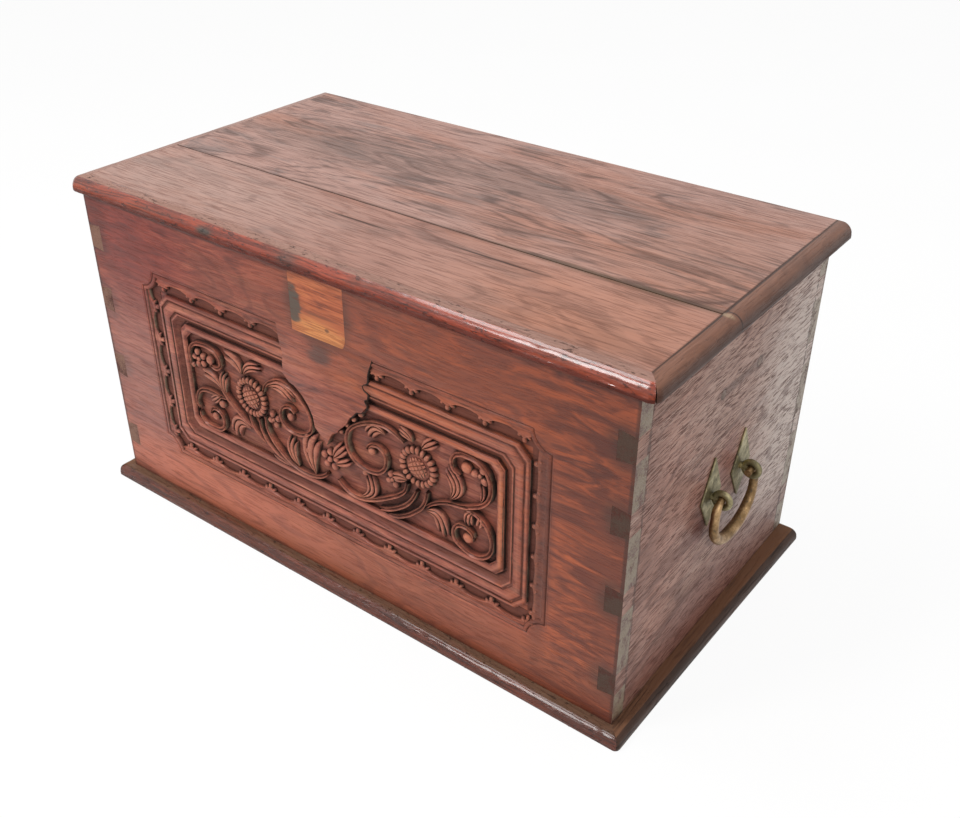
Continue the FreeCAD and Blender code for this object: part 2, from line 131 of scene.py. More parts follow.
class Shader:
    """The nodes of a material or of the world, under construction."""

    def __init__(self, owner: bpy.types.Material | bpy.types.World) -> None:
        """Start with no nodes."""
        self.owner = owner
        owner.use_nodes = True
        self.tree = owner.node_tree
        self.tree.nodes.clear()

    def node(self, kind: str, settings: dict | None = None, sockets: dict | None = None,
             output: int | str = 0) -> Value:
        """Add a node.

        Args:
            kind: The node's type.
            settings: Its properties; stops is a ramp's list of places and colours.
            sockets: Values or links of its inputs, by name or number.
            output: The output that is returned.

        Returns:
            That output as a value; a node without outputs gives an empty value.
        """
        made = self.tree.nodes.new(kind)
        for key, value in (settings or {}).items():
            if key == "stops":
                self.set_stops(made.color_ramp, value)
            else:
                setattr(made, key, value)
        for key, value in (sockets or {}).items():
            if isinstance(value, Value):
                self.tree.links.new(value.socket, made.inputs[key])
            else:
                made.inputs[key].default_value = value
        return Value(self, made.outputs[output] if len(made.outputs) else None)

    @staticmethod
    def set_stops(ramp: bpy.types.ColorRamp, stops: Sequence[tuple[float, Colour]]) -> None:
        """Fill a colour ramp.

        Args:
            ramp: The ramp.
            stops: Its places and colours.
        """
        while len(ramp.elements) < len(stops):
            ramp.elements.new(0.5)
        for element, (place, colour) in zip(ramp.elements, stops):
            element.position = place
            element.color = colour

    def seen(self) -> Value:
        """Return 1 for what the camera sees, straight, in gloss or through glass, and else 0."""
        path = [self.node("ShaderNodeLightPath", output=f"Is {ray} Ray")
                for ray in ("Camera", "Glossy", "Transmission")]
        return (path[0] + path[1] + path[2]).rise(0.0, 1.0)

    def spot(self) -> Value:
        """Return the place on the object, in metres."""
        return self.node("ShaderNodeTexCoord", output="Object")

    def axis(self, vector: Value, letter: str) -> Value:
        """Return one coordinate of a vector."""
        return self.node("ShaderNodeSeparateXYZ", sockets={"Vector": vector}, output=letter)

    def noise(self, vector: Value, scale: Place, seed: float, detail: float, rough: float = 0.55,
              swirl: float = 0.0) -> Value:
        """Add a noise stretched by its own scale along each axis.

        Args:
            vector: The place on the object.
            scale: Waves per metre along X, Y and Z.
            seed: A shift that gives each finish its own pattern.
            detail: Octaves of finer noise.
            rough: How strong the finer octaves are.
            swirl: How much the noise bends itself.

        Returns:
            The noise, about 0 to 1.
        """
        moved = self.node("ShaderNodeMapping", sockets={
            "Vector": vector, "Scale": scale, "Location": (seed, seed * 1.7, seed * 2.3)})
        return self.node("ShaderNodeTexNoise", sockets={
            "Vector": moved, "Scale": 1.0, "Detail": detail, "Roughness": rough, "Distortion": swirl})

    def shift(self, vector: Value, direction: Place, amount: Value) -> Value:
        """Move a place along a direction by a varying amount."""
        step = self.node("ShaderNodeVectorMath", {"operation": "SCALE"}, {0: direction, "Scale": amount})
        return self.node("ShaderNodeVectorMath", {"operation": "ADD"}, {0: vector, 1: step})

    def blend(self, share: Value | float, below: Value | Colour, above: Value | Colour,
              mode: str = "MIX") -> Value:
        """Mix two colours and return the result."""
        return self.node("ShaderNodeMix", {"data_type": "RGBA", "blend_type": mode},
                         {0: share, 6: below, 7: above}, output=2)

    def bump(self, height: Value, strength: float, distance: float) -> Value:
        """Turn a height into a surface normal."""
        return self.node("ShaderNodeBump", sockets={
            "Height": height, "Strength": strength, "Distance": distance})

    def finish(self, sockets: dict) -> bpy.types.Material:
        """Close the material with a principled surface.

        Args:
            sockets: The surface's inputs by name.

        Returns:
            The finished material.
        """
        surface = self.node("ShaderNodeBsdfPrincipled", sockets=sockets)
        self.node("ShaderNodeOutputMaterial", sockets={"Surface": surface})
        return self.owner


class Grain(Enum):
    """The way a board's fibres run, as the axis of the frame."""

    ALONG_X = 0
    ALONG_Y = 1

    def stretch(self, along: float, across: float) -> Place:
        """Return a noise scale that is along on the fibres' axis and across on the others."""
        return tuple(along if axis == self.value else across for axis in range(3))

    def letter(self) -> str:
        """Return the fibres' axis as a letter."""
        return "XYZ"[self.value]


class Figure(Enum):
    """A pattern in the wood.

    Each holds its waves per metre along and across the fibres, the shift of its seed, its octaves, the
    strength of the finer octaves and its swirl.
    """

    FIBRE = (14, 560, 0, 3, 0.6, 0.0)
    STREAK = (5, 140, 3, 4, 0.6, 0.0)
    FLAME = (13, 62, 7, 3, 0.6, 1.6)
    BLOTCH = (7, 18, 11, 4, 0.6, 0.8)
    RIPPLE = (60, 270, 23, 3, 0.6, 0.5)
    WARMTH = (3, 11, 29, 3, 0.6, 0.0)
    SWAY = (4, 10, 31, 2, 0.55, 0.0)
    RINGS = (2, 10, 37, 2, 0.4, 0.0)
    NICKS = (90, 260, 41, 3, 0.7, 0.4)


class MarkKind(Enum):
    """How a mark changes the wood below it, as a colour blend."""

    COVER = "MIX"
    TINT = "COLOR"
    STAIN = "MULTIPLY"


@dataclass(frozen=True)
class Mark:
    """A stain, repair, worn place, painted shade, painted highlight or painted reflection: a ragged
    ellipsoid of another colour.

    Attributes:
        centre: Its middle in the chest's frame, in metres.
        reach: Its half sizes, in metres.
        colour: Its screen colour, as six hexadecimal digits.
        strength: How much of it takes.
        edge: The width of its edge as a share of its size.
        rag: How far the grain pulls its edge about.
        kind: How it changes the wood.
    """

    centre: Place
    reach: Place
    colour: str
    strength: float = 0.8
    edge: float = 0.35
    rag: float = 0.8
    kind: MarkKind = MarkKind.COVER

    def share(self, shader: Shader, spot: Value, ragged: Value) -> Value:
        """Work out how much of the mark shows at each place.

        Args:
            shader: The material under construction.
            spot: The place on the object.
            ragged: A noise of 0 to 1 that breaks up the edge.

        Returns:
            The share, 0 outside the mark.
        """
        scale = tuple(1 / r for r in self.reach)
        shift = tuple(-c / r for c, r in zip(self.centre, self.reach))
        local = shader.node("ShaderNodeMapping", sockets={
            "Vector": spot, "Scale": scale, "Location": shift})
        far = shader.node("ShaderNodeVectorMath", {"operation": "LENGTH"}, {0: local}, output="Value")
        wandering = far + (ragged - 0.5) * self.rag
        return (1 - wandering.rise(1 - self.edge, 1 + self.edge)) * self.strength


@dataclass(frozen=True)
class WoodFinish:
    """Old polished wood with grain, flame figure, pores, stains, dust, end grain and, on carving, painted
    shade and highlights.

    Attributes:
        name: The material's name.
        dark: The colour of the dark grain lines.
        body: The main colour.
        light: The colour of the pale grain, also laid on the carving's ridges as wear and painted
            highlight.
        stain: The colour of the smoky blotches.
        end: The colour of end grain.
        grain: The way the fibres run.
        seed: The pattern's own shift.
        streak: The strength of the long streaks.
        fine: The strength of the fine grain.
        flame: The strength of the flame figure.
        blotch: The strength of the smoky blotches.
        warm: The colour of the warmer places.
        glow: The strength of the warmer places.
        pores: The strength of the open pores.
        pore_scale: Pores per metre along and across the fibres.
        pore_level: The noise level above which the wood is open.
        rough: The roughness of the polish.
        polish: The share of clear polish.
        gloss: The roughness of the clear polish.
        shine: The strength of the wood's own reflection.
        relief: The depth of the grain's relief, in metres.
        ripple: The share of worn ripples and dark nicks in the relief.
        wave: How far the grain sways, in metres.
        rings: How many growth rings show, in radians across the board's figure.
        figure: The strength of the growth rings.
        grime: The colour of the dirt and painted shade in the carving's low places.
        soil: The colour of the painted shade and dirt in crevices, and of the dark nicks.
        soil_reach: The width of the painted shade and dirt beside a wall, in metres; 0 leaves both out.
        dust: How much dust lies on the upper faces.
        dust_colour: The dust's colour.
        marks: Local stains, repairs, worn places and painted light and shade.
    """

    name: str
    dark: Colour
    body: Colour
    light: Colour
    stain: Colour
    end: Colour
    grain: Grain = Grain.ALONG_X
    seed: float = 0.0
    streak: float = 0.6
    fine: float = 0.8
    flame: float = 0.35
    blotch: float = 0.5
    warm: Colour = tint("a8613c")
    glow: float = 0.35
    pores: float = 0.6
    pore_scale: Spot = (14.0, 420.0)
    pore_level: float = 0.56
    rough: float = 0.42
    polish: float = 0.05
    gloss: float = 0.15
    shine: float = 0.24
    relief: float = 0.0005
    ripple: float = 0.0
    wave: float = 0.02
    rings: float = 120.0
    figure: float = 0.15
    grime: Colour = tint("421d10")
    soil: Colour = tint("190d0a")
    soil_reach: float = 0.0
    dust: float = 0.0
    dust_colour: Colour = tint("7d6250")
    marks: tuple[Mark, ...] = ()

    def pattern(self, shader: Shader, spot: Value, figure: Figure) -> Value:
        """Return one of the wood's patterns, about 0 to 1 at each place."""
        along, across, shift, octaves, rough, swirl = figure.value
        stretch = self.grain.stretch(along, across)
        return shader.noise(spot, stretch, self.seed + shift, octaves, rough, swirl)

    def material(self) -> bpy.types.Material:
        """Build the finish.

        Returns:
            The material.
        """
        shader = Shader(bpy.data.materials.new(self.name))
        spot = shader.spot()
        normal = shader.node("ShaderNodeTexCoord", output="Normal")
        upright = shader.axis(normal, "Z")
        sway = self.pattern(shader, spot, Figure.SWAY)
        grown = shader.shift(spot, self.grain.stretch(0, 1), (sway - 0.5) * self.wave)
        fibre = self.pattern(shader, grown, Figure.FIBRE)
        streak = self.pattern(shader, grown, Figure.STREAK)
        flame = self.pattern(shader, grown, Figure.FLAME)
        blotch = self.pattern(shader, grown, Figure.BLOTCH)
        pores = shader.noise(grown, self.grain.stretch(*self.pore_scale), self.seed + 13, 2, 0.5, 0.3)
        pores = (pores + (flame - 0.5) * 0.25).rise(self.pore_level, self.pore_level + 0.05)
        rings = (self.pattern(shader, spot, Figure.RINGS) * self.rings).sine().rise(0.45, 1.0)
        tone = (streak - 0.5) * self.streak + (fibre - 0.5) * self.fine + (flame - 0.5) * self.flame + 0.5
        colour = shader.node("ShaderNodeValToRGB", {
            "stops": [(0.25, self.dark), (0.5, self.body), (0.75, self.light)]}, {"Fac": tone})
        smoky = (blotch + (streak - 0.5) * 0.5).rise(0.48, 0.7) * self.blotch
        colour = shader.blend(smoky, colour, self.stain)
        warmer = self.pattern(shader, spot, Figure.WARMTH).rise(0.46, 0.68) * self.glow
        colour = shader.blend(warmer, colour, self.warm, "COLOR")
        ragged = flame * 0.8 + streak * 0.2
        for mark in self.marks:
            share = mark.share(shader, spot, ragged)
            colour = shader.blend(share, colour, tint(mark.colour), mark.kind.value)
        colour = shader.blend(pores * self.pores, colour, self.dark)
        colour = shader.blend(rings * blotch.rise(0.4, 0.55) * self.figure, colour, self.dark)
        colour = shader.blend(*self.end_grain(shader, spot, normal, colour))
        dull = smoky * 0.1 + pores * 0.15
        if self.soil_reach:
            colour, dull = self.lay_soil(shader, colour, dull, fibre, blotch)
        coat = upright.rise(0.05, 0.45) * self.polish if self.ripple else self.polish
        if self.dust:
            lying = upright.rise(0.9, 0.985) * (fibre * 0.7 + blotch * 0.6).rise(0.4, 0.8)
            colour = shader.blend(lying * self.dust, colour, self.dust_colour)
            dull = dull + lying * 0.4
            coat = (1 - lying * self.dust).rise(0.0, 1.0) * coat
        height = fibre * 0.6 + streak * 0.5 - pores * 0.9
        if self.ripple:
            nicks = self.pattern(shader, spot, Figure.NICKS).rise(0.60, 0.67)
            colour = shader.blend(nicks * min(0.6, self.ripple * 0.4), colour, self.soil)
            height = height + (self.pattern(shader, spot, Figure.RIPPLE) - nicks) * self.ripple
        return shader.finish({
            "Base Color": colour,
            "Roughness": (fibre - 0.5) * 0.25 + dull + self.rough,
            "Specular IOR Level": self.shine,
            "Coat Weight": coat,
            "Coat Roughness": self.gloss,
            "Normal": shader.bump(height, 0.7, self.relief)})

    def lay_soil(self, shader: Shader, colour: Value, dull: Value, fibre: Value,
                 blotch: Value) -> tuple[Value, Value]:
        """Lay dirt, wear, painted shade and painted highlight on the carving and in its crevices.

        Args:
            shader: The material under construction.
            colour: The wood's colour.
            dull: How dull the polish is.
            fibre: The fine grain.
            blotch: The smoky blotches.

        Returns:
            The colour and the dullness with the dirt, wear, painted shade and painted highlight.
        """
        grime_shade_share = shader.node("ShaderNodeAttribute", {"attribute_name": DIRT_SHADE_AND_WEAR_LAYER}, output="Fac")
        # A layer below 0 lightens the ridges: wear and painted highlight.
        colour = shader.blend((0 - grime_shade_share).rise(0.0, 0.4) * 0.4, colour, self.light)
        grime_shade_share = (grime_shade_share + (blotch - 0.5) * 0.3 + (fibre - 0.5) * 0.2) * grime_shade_share.rise(0.0, 0.1)
        # A layer above 0 darkens the low places: dirt and painted shade.
        colour = shader.blend(grime_shade_share * 0.85, colour, self.grime)
        # Ambient occlusion darkens the crevices: painted shade, with the dirt that lies there.
        open_sky = shader.node("ShaderNodeAmbientOcclusion", {"samples": 6},
                               {"Distance": self.soil_reach}, output="AO")
        crevice_shade_and_dirt = (1 - open_sky + (blotch - 0.5) * 0.3).rise(0.2, 0.66)
        colour = shader.blend(crevice_shade_and_dirt * 0.92, colour, self.soil)
        return colour, dull + grime_shade_share * 0.25 + crevice_shade_and_dirt * 0.3

    def end_grain(self, shader: Shader, spot: Value, normal: Value,
                  colour: Value) -> tuple[Value, Value, Value]:
        """Work out where cut fibre ends show, and their colour.

        Args:
            shader: The material under construction.
            spot: The place on the object.
            normal: The surface's direction.
            colour: The colour of the long grain.

        Returns:
            The share of end grain, the long grain's colour and the end grain's colour.
        """
        facing = shader.axis(normal, self.grain.letter()).size().rise(0.75, 0.92)
        speckle = shader.noise(spot, (420, 420, 420), self.seed + 17, 3, 0.7)
        patch = shader.noise(spot, (55, 55, 55), self.seed + 19, 3)
        mottle = (speckle * 0.45 + patch * 0.55).rise(0.36, 0.56)
        return facing, colour, shader.blend(mottle, self.dark, self.end)


@dataclass(frozen=True)
class BrassFinish:
    """Cast brass gone green-brown, worn golden on its high places.

    Attributes:
        name: The material's name.
        bright: The worn metal's colour.
        patina: The dulled metal's colour.
        crust: The colour of the dirt and verdigris.
        wear: How much of the metal is worn bright.
        rough: The roughness of the dulled metal.
        seed: The pattern's own shift.
    """

    name: str
    bright: Colour
    patina: Colour
    crust: Colour
    wear: float = 0.5
    rough: float = 0.42
    seed: float = 0.0

    def material(self) -> bpy.types.Material:
        """Build the finish.

        Returns:
            The material.
        """
        shader = Shader(bpy.data.materials.new(self.name))
        spot = shader.spot()
        cloud = shader.noise(spot, (60, 60, 60), self.seed, 4, 0.6)
        grit = shader.noise(spot, (380, 380, 380), self.seed + 5, 3, 0.6)
        worn = (cloud * 0.7 + grit * 0.3 + (self.wear - 0.5)).rise(0.42, 0.66)
        crusty = (grit * 0.6 + (1 - cloud) * 0.5).rise(0.56, 0.72)
        colour = shader.blend(worn, self.patina, self.bright)
        colour = shader.blend(crusty * 0.75, colour, self.crust)
        return shader.finish({
            "Base Color": colour,
            "Metallic": 0.95 - crusty * 0.6,
            "Roughness": (1 - worn) * 0.16 + crusty * 0.2 + self.rough - 0.1,
            "Normal": shader.bump(grit + cloud * 0.6, 0.5, 0.0005)})


@dataclass(frozen=True)
class PaleGround:
    """The studio's white ground, which keeps the object's shadow.

    Attributes:
        name: The material's name.
        colour: Its colour.
        glow: The share of plain white that the camera sees.
    """

    name: str
    colour: Colour
    glow: float = 0.93

    def material(self) -> bpy.types.Material:
        """Build the ground's material.

        Returns:
            The material.
        """
        shader = Shader(bpy.data.materials.new(self.name))
        grain = shader.noise(shader.spot(), (3, 3, 3), 1.0, 2)
        colour = shader.blend(grain, self.colour, WHITE)
        ground = shader.node("ShaderNodeBsdfPrincipled", sockets={
            "Base Color": colour, "Roughness": 0.9, "Specular IOR Level": 0.0})
        white = shader.node("ShaderNodeEmission", sockets={"Color": WHITE, "Strength": 1.0})
        mixed = shader.node("ShaderNodeMixShader", sockets={
            0: shader.seen() * self.glow, 1: ground, 2: white})
        shader.node("ShaderNodeOutputMaterial", sockets={"Surface": mixed})
        return shader.owner


class Workpiece:
    """A mesh under construction, made of one or more shells."""

    def __init__(self) -> None:
        """Start with nothing."""
        self.bm = bmesh.new()
        self.bm.verts.layers.float.new(DIRT_SHADE_AND_WEAR_LAYER)

    def grime(self, share: Callable[[Vector], float]) -> None:
        """Set every point's share of dirt and painted shade; below 0 it lightens as wear and painted
        highlight.

        Args:
            share: The share of dirt and painted shade at a place.
        """
        layer = self.bm.verts.layers.float[DIRT_SHADE_AND_WEAR_LAYER]
        for vert in self.bm.verts:
            vert[layer] = share(vert.co)

    def loft(self, columns: int, rows: int, place: Callable[[int, int], Place],
             grime: Callable[[int], float] | None = None) -> None:
        """Lay a grid of faces.

        Args:
            columns: Faces across.
            rows: Faces along.
            place: The place of the corner at a column and a row.
            grime: The share of dirt and painted shade at a column.
        """
        layer = self.bm.verts.layers.float[DIRT_SHADE_AND_WEAR_LAYER]
        made = bmesh.ops.create_grid(self.bm, x_segments=columns, y_segments=rows, size=1.0)
        for vert in made["verts"]:
            column = round((vert.co.x + 1) / 2 * columns)
            row = round((vert.co.y + 1) / 2 * rows)
            vert.co = place(column, row)
            vert[layer] = grime(column) if grime else 0.0

    def bar(self, section: Sequence[Spot | SoiledAndShaded], steps: int,
            place: Callable[[Spot | SoiledAndShaded, float], Place]) -> None:
        """Carry a closed section along a run and cap its ends.

        Args:
            section: The section's corners in order; a third number is the corner's share of dirt and
                painted shade.
            steps: Faces along the run.
            place: The place of a corner at a share of the run, 0 to 1.
        """
        start = len(self.bm.verts)
        count = len(section)
        self.loft(count, steps, lambda i, j: place(section[i % count], j / steps),
                  lambda i: section[i % count][2] if len(section[0]) > 2 else 0.0)
        self.bm.verts.ensure_lookup_table()
        fresh = self.bm.verts[start:]
        bmesh.ops.remove_doubles(self.bm, verts=fresh, dist=1e-7)
        self.close()

    def close(self) -> None:
        """Fill every open edge loop."""
        rim = [edge for edge in self.bm.edges if edge.is_boundary]
        bmesh.ops.holes_fill(self.bm, edges=rim, sides=0)

    def slab(self, outline: Sequence[Spot], low: float, high: float, ease: float) -> None:
        """Add an upright-sided slab with an eased upper edge.

        Args:
            outline: Its corners in order.
            low: The height of its underside.
            high: The height of its top.
            ease: The width of the eased edge.
        """
        count = len(outline)
        made = bmesh.ops.create_circle(self.bm, cap_ends=True, segments=count, radius=1.0)
        for vert in made["verts"]:
            index = round(math.atan2(-vert.co.x, vert.co.y) / math.tau * count) % count
            vert.co = (*outline[index], low)
        risen = bmesh.ops.extrude_face_region(self.bm, geom=list(made["verts"][0].link_faces))["geom"]
        verts = [item for item in risen if isinstance(item, bmesh.types.BMVert)]
        bmesh.ops.translate(self.bm, vec=(0, 0, high - low), verts=verts)
        self.close()
        rim = [item for item in risen if isinstance(item, bmesh.types.BMEdge)]
        bmesh.ops.bevel(self.bm, geom=rim, offset=ease, segments=2, profile=0.5, affect="EDGES",
                        material=-1, clamp_overlap=True)

    def ball(self, centre: Place, radii: Place, turn: float = 0.0, sides: int = 12) -> None:
        """Add an ellipsoid.

        Args:
            centre: Its middle.
            radii: Its half sizes.
            turn: Its turn about Z, in radians.
            sides: Faces round it.
        """
        made = bmesh.ops.create_uvsphere(self.bm, u_segments=sides, v_segments=sides * 2 // 3, radius=1.0)
        seat = Matrix.Translation(centre) @ Matrix.Rotation(turn, 4, "Z") @ Matrix.Diagonal((*radii, 1))
        bmesh.ops.transform(self.bm, matrix=seat, verts=made["verts"])

    def strand(self, route: Sequence[Spot], radii: Sequence[float], seat: Matrix,
               steps: int = 6, sides: int = 2, groove: float = 0.0) -> None:
        """Add a round bar that swells and tapers along a smooth flat route.

        Args:
            route: The points that it passes through.
            radii: Its radius at each point.
            seat: The transform that places the flat route.
            steps: Rings from one point to the next.
            sides: The section's fineness.
            groove: The share of its height that a gouged line along its top takes away.
        """
        curve = bpy.data.curves.new("route", "CURVE")
        curve.dimensions = "3D"
        curve.fill_mode = "FULL"
        curve.bevel_depth = 1.0
        curve.bevel_resolution = sides
        curve.use_fill_caps = True
        spline = curve.splines.new("BEZIER")
        spline.resolution_u = steps
        spline.bezier_points.add(len(route) - 1)
        for point, (across, up), radius in zip(spline.bezier_points, route, radii):
            point.co = (across, up, 0.0)
            point.radius = radius
            point.handle_left_type = "AUTO"
            point.handle_right_type = "AUTO"
        holder = bpy.data.objects.new("route", curve)
        mesh = bpy.data.meshes.new_from_object(holder)
        ring = 4 + 2 * sides
        top = max(range(ring), key=lambda index: mesh.vertices[index].co.z)
        for vertex in list(mesh.vertices)[top::ring]:
            vertex.co.z *= 1 - groove
        mesh.transform(seat)
        self.bm.from_mesh(mesh)
        bpy.data.objects.remove(holder)
        bpy.data.curves.remove(curve)
        bpy.data.meshes.remove(mesh)

    def place(self, name: str, material: bpy.types.Material, body: str, slot: str,
              stands_for: Iterable[str] = (), seat: Matrix | None = None,
              crease: float = math.radians(38)) -> None:
        """Close the mesh and hand it over as a piece of the chest.

        Args:
            name: The piece's name.
            material: Its finish.
            body: The body that it moves with.
            slot: The record's material slot; not used.
            stands_for: The nodes that it replaces.
            seat: The transform into the chest's frame.
            crease: Edges sharper than this stay sharp.
        """
        bmesh.ops.remove_doubles(self.bm, verts=self.bm.verts, dist=1e-6)
        if seat is not None:
            bmesh.ops.transform(self.bm, matrix=seat, verts=self.bm.verts)
        bmesh.ops.recalc_face_normals(self.bm, faces=self.bm.faces)
        for face in self.bm.faces:
            face.smooth = True
        for edge in self.bm.edges:
            edge.smooth = len(edge.link_faces) != 2 or edge.calc_face_angle(0.0) < crease
        mesh = bpy.data.meshes.new(name)
        self.bm.to_mesh(mesh)
        self.bm.free()
        mesh.materials.append(material)
        piece = bpy.data.objects.new(name, mesh)
        bpy.context.scene.collection.objects.link(piece)
        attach(piece, body)
        if stands_for:
            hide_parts(*stands_for)
        LOG.info("%s: %d faces on %s", name, len(mesh.polygons), body)


def wander(spot: Sequence[float], pitch: float, amount: float) -> float:
    """Return a smooth hand-made unevenness at a place.

    Args:
        spot: The place.
        pitch: The size of its waves.
        amount: Its greatest size.

    Returns:
        The unevenness, from minus the amount to the amount.
    """
    return noise.noise(Vector(spot) / pitch) * amount


def fall(level: float, low: float, high: float) -> float:
    """Return a smooth step from 1 at a low level to 0 at a high one."""
    share = min(1.0, max(0.0, (level - low) / (high - low)))
    return 1 - share * share * (3 - 2 * share)


def polar(middle: Spot, reach: float, angle: float) -> Spot:
    """Return the place at a distance and an angle from a middle."""
    return (middle[0] + reach * math.cos(angle), middle[1] + reach * math.sin(angle))


def stations(corners: Sequence[Spot], steps: Sequence[int]) -> list[Spot]:
    """Divide each leg of a path into its own number of steps.

    Args:
        corners: The path's corners.
        steps: Steps on each leg.

    Returns:
        The points along the path, both ends included.
    """
    points = [corners[0]]
    for (x0, y0), (x1, y1), count in zip(corners, corners[1:], steps):
        points += [(x0 + (x1 - x0) * i / count, y0 + (y1 - y0) * i / count) for i in range(1, count + 1)]
    return points


@dataclass(frozen=True)
class FriezeRun:
    """One side of the cusped border; all sizes are in millimetres.

    Attributes:
        start: Where it starts on the panel's outline.
        end: Where it ends.
        inward: The direction to the panel's middle.
        first: The distance from the start to the first bud.
        pitch: The distance from bud to bud.
        buds: How many buds it carries.
        base: The band's least width.
        swing: How much wider it is at a bud.
    """

    start: Spot
    end: Spot
    inward: Spot
    first: float
    pitch: float
    buds: int
    base: float = 4.6
    swing: float = 8.2

    @property
    def length(self) -> float:
        """The distance from the start to the end."""
        return math.dist(self.start, self.end)

    def foot(self, along: float) -> Spot:
        """Return the place on the outline at a distance from the start."""
        share = along / self.length
        return (self.start[0] + (self.end[0] - self.start[0]) * share,
                self.start[1] + (self.end[1] - self.start[1]) * share)


@dataclass
class CarvedPanel:
    """The front board's relief carving.

    Places on the panel are in millimetres: across from its middle, up from the plinth's top and out
    from the board's face, so that a negative height is below the face.

    Attributes:
        half_length: Half the panel's length.
        foot: The height of its lower edge.
        head: The height of its upper edge.
        scoop: The radius of its scooped corners.
        covered: How far each side of the middle the shield covers the borders.
        frame_chamfer: The cut of the frame's outer corners.
        field_chamfer: The cut of the field's corners.
        frame_inset: The insets between which the corners' cut changes.
        frieze_floor: The depth of the frieze's ground.
        frieze_start: The inset where the frieze starts.
        frieze_end: The inset where it ends.
        ground_top: The depth of the field's ground.
        ground_half: Half the ground's length.
        ground_low: The height of the ground's lower edge.
        ground_high: The height of its upper edge.
        ground_faces: Faces along and up the ground.
        ground_grime: The share of dirt and painted shade on the sunk ground.
        recess_foot: The depth of the sunk field in the board.
        corner_steps: Faces round a scooped corner.
        bud_lobes: Each lobe's reach from the outline, offset, half length, half width and turn.
        bud_rise: A lobe's height.
        hand_pitch: The length of the strips' hand-cut waves.
        hand_sway: How far the strips sway.
        body: The body that the carving moves with.
        slot: The record's material slot.
        rim_section: The rim's insets, heights and shares of dirt and painted shade, below 0 for wear and
            highlight.
        frame_section: The frame's insets, heights and shares of dirt and painted shade, below 0 for wear
            and highlight.
        shield_outline: The broken outline of the flat shield.
        runs: The sides of the cusped border.
    """

    half_length: float = 296.0
    foot: float = 62.0
    head: float = 323.0
    scoop: float = 22.0
    covered: float = 50.0
    frame_chamfer: float = 14.0
    field_chamfer: float = 9.0
    frame_inset: Spot = (27.0, 67.0)
    frieze_floor: float = -6.0
    frieze_start: float = 7.8
    frieze_end: float = 27.6
    ground_top: float = -8.0
    ground_half: float = 229.4
    ground_low: float = 128.6
    ground_high: float = 256.4
    ground_faces: tuple[int, int] = (150, 44)
    ground_grime: float = 0.4
    recess_foot: float = -10.6
    corner_steps: int = 8
    bud_lobes: tuple[tuple[float, ...], ...] = (
        (20.8, 0.0, 4.6, 3.4, 0.0), (16.4, 5.4, 4.4, 2.6, 0.9), (16.4, -5.4, 4.4, 2.6, -0.9))
    bud_rise: float = 4.9
    hand_pitch: float = 26.0
    hand_sway: float = 0.4
    body: str = "chest"
    slot: str = "case_wood"

    rim_section: tuple[SoiledAndShaded, ...] = (
        (0.1, 0.0, 0.1), (1.2, -0.2, 0.0), (1.9, -0.7, 0.2), (2.6, -1.6, 0.7), (3.2, -1.6, 0.7),
        (4.0, -0.6, 0.2), (5.5, -0.2, 0.2), (7.4, -0.6, 0.5), (8.2, -1.9, 1.0), (8.8, -3.0, 1.0),
        (8.8, -6.5, 1.0), (0.1, -6.5, 1.0))
    frame_section: tuple[SoiledAndShaded, ...] = (
        (27.2, -6.5, 1.0), (27.4, -1.8, 0.9), (28.2, -0.9, 0.2), (30.0, -0.6, -0.3), (31.4, -0.7, 0.3),
        (31.9, -1.9, 1.0), (33.6, -1.9, 1.0), (34.3, -0.9, 0.5), (35.5, -0.5, 0.0), (39.0, -0.4, -0.2),
        (42.4, -0.6, 0.0), (43.8, -0.9, 0.5), (44.3, -1.95, 1.0), (45.7, -1.95, 1.0), (46.2, -1.1, 0.3),
        (47.4, -0.9, -0.4), (48.4, -1.8, 0.6), (49.6, -3.6, 0.8), (52.0, -5.2, 0.8), (55.2, -6.8, 0.9),
        (56.4, -8.2, 1.0), (57.8, -8.0, 1.0), (58.2, -4.6, 0.8), (59.4, -2.8, 0.2), (61.8, -2.0, -0.3),
        (64.4, -2.3, -0.1), (66.0, -3.6, 0.5), (66.8, -6.0, 0.9), (67.2, -11.0, 1.0), (27.2, -11.0, 1.0))
    shield_outline: tuple[Spot, ...] = (
        (-66, 323), (-63, 296), (-60, 286), (-62, 272), (-62, 259), (-54, 251), (-47, 249.5), (-38, 244),
        (-31, 236), (-27, 231), (-21, 219), (-19, 205), (-12, 199), (-7, 196), (-2, 188), (5, 203),
        (8, 207), (15.4, 211), (17.5, 215.4), (30, 228), (35.2, 238), (40.4, 242.5), (46.7, 249.8),
        (54, 252), (62.3, 263), (59, 269.6), (63.3, 272.7), (64.4, 279), (59, 282), (57, 287),
        (64.4, 292.5), (65.4, 303), (72.7, 323))
    runs: tuple[FriezeRun, ...] = (
        FriezeRun((-272, 62), (274, 62), (0, 1), 20.7, 47.6, 12),
        FriezeRun((296, 86), (296, 300), (-1, 0), 6.0, 37.6, 6, 11.6, 1.8),
        FriezeRun((272, 323), (50, 323), (0, -1), 12.0, 46.2, 5),
        FriezeRun((-50, 323), (-272, 323), (0, -1), 61.0, 49.0, 4),
        FriezeRun((-296, 300), (-296, 85), (1, 0), 27.0, 44.6, 5))

    def seat(self) -> Matrix:
        """Return the transform from the panel's millimetres to the chest's frame."""
        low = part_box("front_board")[0]
        upright = Matrix.Rotation(math.pi / 2, 4, "X")
        return Matrix.Translation((0, low.y, low.z)) @ upright @ Matrix.Scale(MM, 4)

